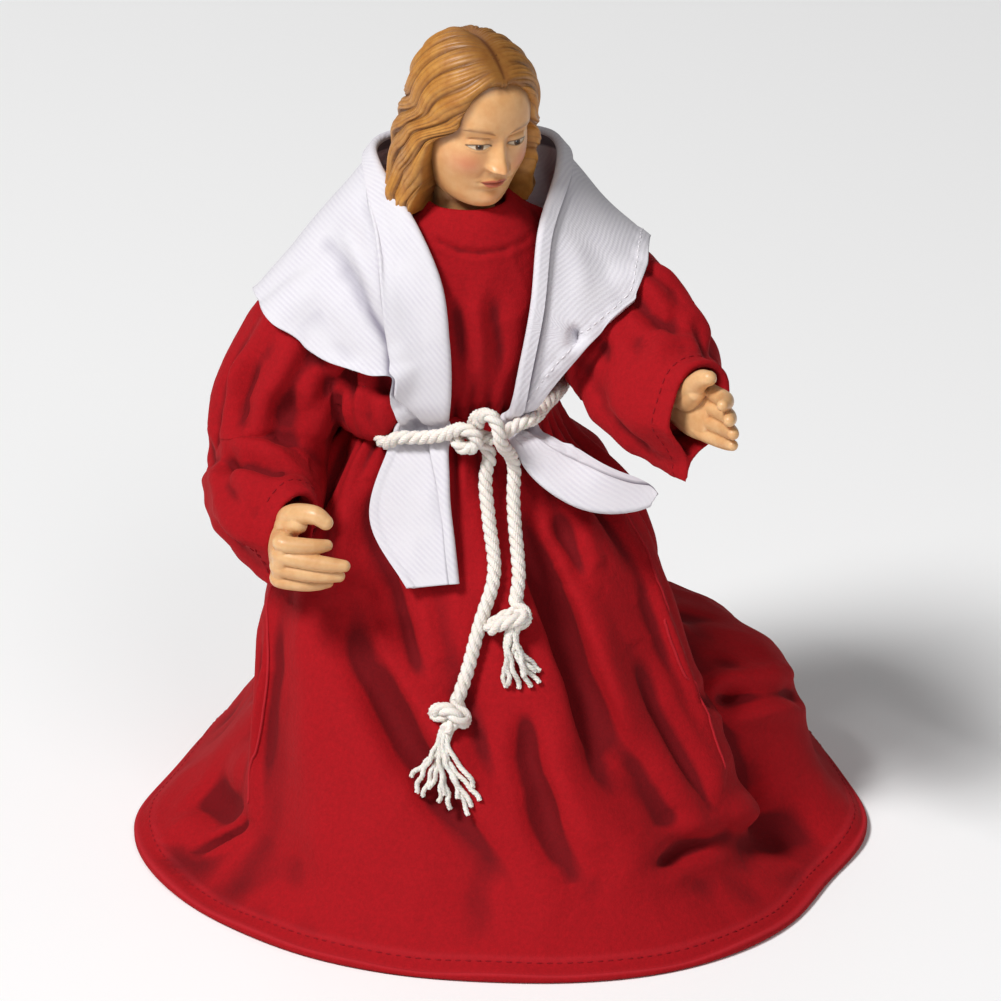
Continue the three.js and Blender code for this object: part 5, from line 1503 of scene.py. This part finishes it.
# The skin's colours, among them painted shade where the face and neck run in under the hair.
skin.paint("#d89c62", ("#e5b37c", mottle, 1), *(
    (colour, skin.kept(where), strength)
    for where, colour, strength in [
        ("blush", "#c85f45", 0.75), ("shade", "#a8683a", 0.75), ("shade_under_hair", "#6b3d1b", 0.75),
        ("lips", "#b84f3d", 0.85), ("mouth_line", "#7d3526", 1), ("eye_white", "#d9c4aa", 1),
        ("iris", "#5d3b1d", 1), ("pupil", "#1c110b", 1), ("glint", "#ffffff", 1),
        ("brows", "#7a4a22", 0.85), ("lashes", "#3a2113", 1),
    ]
))
points, faces = closed(head_drawn)
face = piece_of("carved_face", posed(points), faces, skin.material)
for name, values in face_paint(across_face, h).items():
    keep(face, name, np.append(values * front, [0, 0]))
neck_line = [[*posed([0, 2, 7]), 4.7, 4.7], [-6, -5, 106.5, 4.7, 4.7], [-5, -6, 100.4, 4.7, 4.7]]
neck_rings, _ = swept(neck_line, 14, 48, start_dome=False, end_dome=False)
neck = piece_of("carved_neck", *closed(neck_rings), skin.material)


# The hair: two carved curtains from the parting down to the neck, with wavy locks that sweep back
# over the ears. Each lock is grooved again into strands, and glaze lies dark in the grooves.
LOCKS = 7
LOCK_DEPTH = 0.62
STRAND_DEPTH = 0.2
PARTING = (-7.6, 7)
HAIR_ENDS = -2.2
CROWN_SHARE = 0.36


def hair_surface(side, u, v):
    """Places on the hair and how deep in a groove they are; u runs from the face to the nape."""
    down = np.clip((v - CROWN_SHARE) / (1 - CROWN_SHARE), 0, 1)
    strand = u - 0.34 * ease(0.1, 0.85, v) + 0.03 * np.sin(2 * np.pi * (1.9 * v + 1.3 * u) + side)
    cell = strand * LOCKS + 0.35 * side
    which = np.floor(cell + 0.5)
    lock = np.abs(np.cos(np.pi * cell))
    fine = np.abs(np.cos(np.pi * (cell * (3 + which % 2) + 0.35 * np.sin(9 * v + 2.5 * which))))
    grooves = ease(0.02, 0.2, v)
    wave = 0.3 * np.sin(2 * np.pi * (2.6 * v + 0.5 * u) + 2 * which)
    lift = (LOCK_DEPTH * (lock**0.8 - 0.62) + wave * ease(0.25, 0.6, v)) * grooves
    lift = lift + STRAND_DEPTH * (fine**0.7 - 0.6) * ease(0, 0.12, v)
    edge = np.clip(1 - u / 0.045, 0, 1)
    lift = lift - 0.75 * (1 - np.sqrt(1 - edge**2))
    scallop = 3.2 * (lock - 0.5) * ease(0.1, 0.3, v) * (1 - ease(0, 0.2, u))
    beta = np.radians(mix(mix(40, 63, ease(0, 0.3, down)) + scallop, 184, u))
    drawn_in = 0.9 * ease(0.88, 1, down)
    wide = 9.6 + 1.5 * ease(0, 0.5, down) + 1.2 * ease(0.7, 1, down) * (1 - u) + lift - drawn_in
    deep = np.where(np.cos(beta) > 0, 9.9, 11.4 - 1.2 * down) + lift - drawn_in
    rise = np.clip(v / CROWN_SHARE, 0, 1) * np.pi / 2
    ridge_y = mix(*PARTING, u)
    ridge_z = 25.1 - 0.05 * (ridge_y + 0.5) ** 2 - 0.6 * hill(v, 0, 0.05) + lift * 0.8
    x = side * mix(-0.5, np.sin(beta) * wide, np.sin(rise))
    y = mix(ridge_y, 0.5 - np.cos(beta) * deep, np.sin(rise))
    ends = HAIR_ENDS - 0.9 * (lock - 0.5) - 0.5 * (fine - 0.5)
    z = np.where(v < CROWN_SHARE, mix(15, ridge_z, np.cos(rise)), mix(15, ends, down))
    smooth_edge = np.maximum(ease(0, 0.03, v), 1 - ease(0.02, 0.06, u))
    depth = 1 - (0.65 * lock**0.5 + 0.35 * fine**0.5) * grooves - 0.45 * (1 - grooves) * smooth_edge
    return np.stack([x, y, z], -1), depth


hair = Finish("painted_hair", "#b9792f", 0.46, Coat_Weight=0.12, Coat_Roughness=0.3,
              Specular_IOR_Level=0.35)
hair.paint(
    "#a96c2b",
    ("#c38a41", hair.ranged(hair.noise(700, 4), 0.3, 0.7), 1),
    ("#5e3412", hair.ranged(hair.kept("groove"), 0.14, 0.8), 1),
)
hair.relief((hair.noise(2600), 0.15, 0.00006))
curtains = []
v, u = np.meshgrid(np.linspace(0, 1, 250), np.linspace(0, 1, 240) ** 1.15, indexing="ij")
for side, name in ((-1, "right"), (1, "left")):
    outer, depth = hair_surface(side, u, v)
    core = np.stack([np.zeros_like(u), np.ones_like(u), np.minimum(outer[..., 2], 11)], -1)
    inner = mix(outer, core, 0.5)[:, ::-8]
    depth = np.concatenate([depth, np.full(inner.shape[:2], 0.6)], 1)
    points, faces = closed(np.concatenate([outer, inner], 1))
    if side < 0:
        faces = [corners[::-1] for corners in faces]
    curtain = piece_of("carved_hair_" + name, posed(points), faces, hair.material)
    keep(curtain, "groove", np.append(depth, [0.5, 0.5]))
    curtains.append(curtain)
hair_skin = surface_of(*curtains)
# Painted shade on the face and neck where they run in under the hair, darkest closest to it.
for piece, reach in ((face, 1.5), (neck, 1.8)):
    apart = np.array([hair_skin.find_nearest(Vector(p))[3] for p in places_of(piece)])
    keep(piece, "shade_under_hair", 1 - ease(0.1, reach, apart))
for piece in (face, neck, *curtains):
    stands_for(piece, "head")


# The hands: carved from wood like the head, with long simple fingers held together, and pegged
# into the sleeves. Forward runs from the wrist to the knuckles; the fingers curl towards the palm.
HAND_SCALE = 18.2 / 17.5
BONE_SHARES = (0.46, 0.32, 0.22)
BONE_SLIMNESS = (1, 0.9, 0.74)
FINGER_WIDTH = 1.18
FINGER_PITCH = 2
PALM_LENGTH = 8.6
PALM_HALF = 4.15
# Wrist, the arm's way into the sleeve, forward, palm, the bend at each joint in degrees, what each
# finger adds to it, their lengths, and the thumb's places as forward, up and towards the palm.
HANDS = {
    "right": [
        (-32, -22.8, 58.6), (-1.8, 3.4, 0), (-0.03, -0.99, -0.09), (1, 0, -0.1),
        (78, 8, 6), (9, 0, 1, 6), [6.3, 8.9, 8.3, 6.9],
        [[0.5, 1.6, 0.3], [3.4, 4.6, 0.8], [5.2, 6.4, 2.2], [6.6, 7.2, 4.4], [7.2, 6.6, 5.9]],
    ],
    "left": [
        (25.7, -21.8, 79.2), (-2, 2.6, 0), (0.6, -0.8, 0.1), (-0.6, -0.7, 0.25),
        (8, 12, 8), (8, 4, 0, -4), [8.2, 8.9, 8.3, 6.9],
        [[0.5, 0.6, 0.3], [3.6, 1.8, 1.6], [6.4, 3.6, 2.8], [8.4, 5.1, 3.2], [9.9, 5.6, 3.2]],
    ],
}
THUMB_WIDTHS = [(1.7, 1.9), (1.8, 1.8), (1.6, 1.5), (1.4, 1.35), (1.1, 1.1)]
hand_paint, mottle = painted_wood("painted_hand")
hand_paint.paint(
    "#d39d68",
    ("#e3b783", mottle, 1),
    ("#9c5d2b", hand_paint.ranged(hand_paint.kept("hollow"), 0.02, 0.2), 0.85),
)


def limb(stations, rows, sides, across):
    """A tube with a rounded tip, whose start is hidden in the palm or the sleeve."""
    return closed(swept(stations, rows, sides, across, start_dome=False)[0])


for name, (wrist, arm, forward, palm, curl, more_bend, lengths, thumb_places) in HANDS.items():
    forward = unit(forward)
    palm = unit(np.array(palm) - np.dot(palm, forward) * forward)
    up = np.cross(forward, palm)
    if up[2] < 0:
        up = -up

    def station(a, b, c, wide, high):
        spot = np.array(wrist) + (forward * a + up * b + palm * c) * HAND_SCALE
        return [*spot, wide * HAND_SCALE, high * HAND_SCALE]

    back = [
        [*(np.array(wrist) + arm), 2.8 * HAND_SCALE, 2 * HAND_SCALE], station(0, 0, 0, 3, 2.1),
        station(3.5, 0, 0, 3.95, 1.9), station(PALM_LENGTH - 0.6, -0.1, 0.3, PALM_HALF - 0.25, 1.35),
    ]
    solids = [limb(back, 24, 40, up)]
    for i, length in enumerate(lengths):
        height = PALM_HALF - 1.1 - i * FINGER_PITCH
        thick = FINGER_WIDTH * (0.9 if i == 3 else 1)
        a, c, bend = PALM_LENGTH - 0.5, 0.3, 0
        finger = [
            station(PALM_LENGTH - 4, height * 0.84, 0.25, 0.6 * thick, 1.1 * thick),
            station(PALM_LENGTH - 2, height * 0.96, 0.1, thick, 1.2 * thick),
            station(a, height, c, thick, thick * 1.1),
        ]
        for joint in range(3):
            bend += math.radians(curl[joint] + more_bend[i])
            a += math.cos(bend) * length * BONE_SHARES[joint]
            c += math.sin(bend) * length * BONE_SHARES[joint]
            slim = thick * BONE_SLIMNESS[joint]
            finger.append(station(a, height * (1 - 0.03 * joint), c, slim, slim))
        solids.append(limb(finger, 30, 24, up))
    thumb = [station(*place, *size) for place, size in zip(thumb_places, THUMB_WIDTHS)]
    web_ends = np.array(thumb_places[1:3]) * [1, 0.78, 0.9] + [0.6, 0.1, 0.1]
    web = [station(1.4, 1.8, 0.4, 2.1, 2), station(*web_ends[0], 1.9, 1.9)]
    web.append(station(*web_ends[1], 1.3, 1.4))
    solids += [limb(thumb, 30, 24, forward), limb(web, 16, 20, forward)]
    hand = fused("carved_hand_" + name, solids, 0.13, [0.5, -0.46, 0.5], hand_paint.material)
    keep(hand, "hollow", hollows(hand, 24))
    stands_for(hand, name + "_hand")
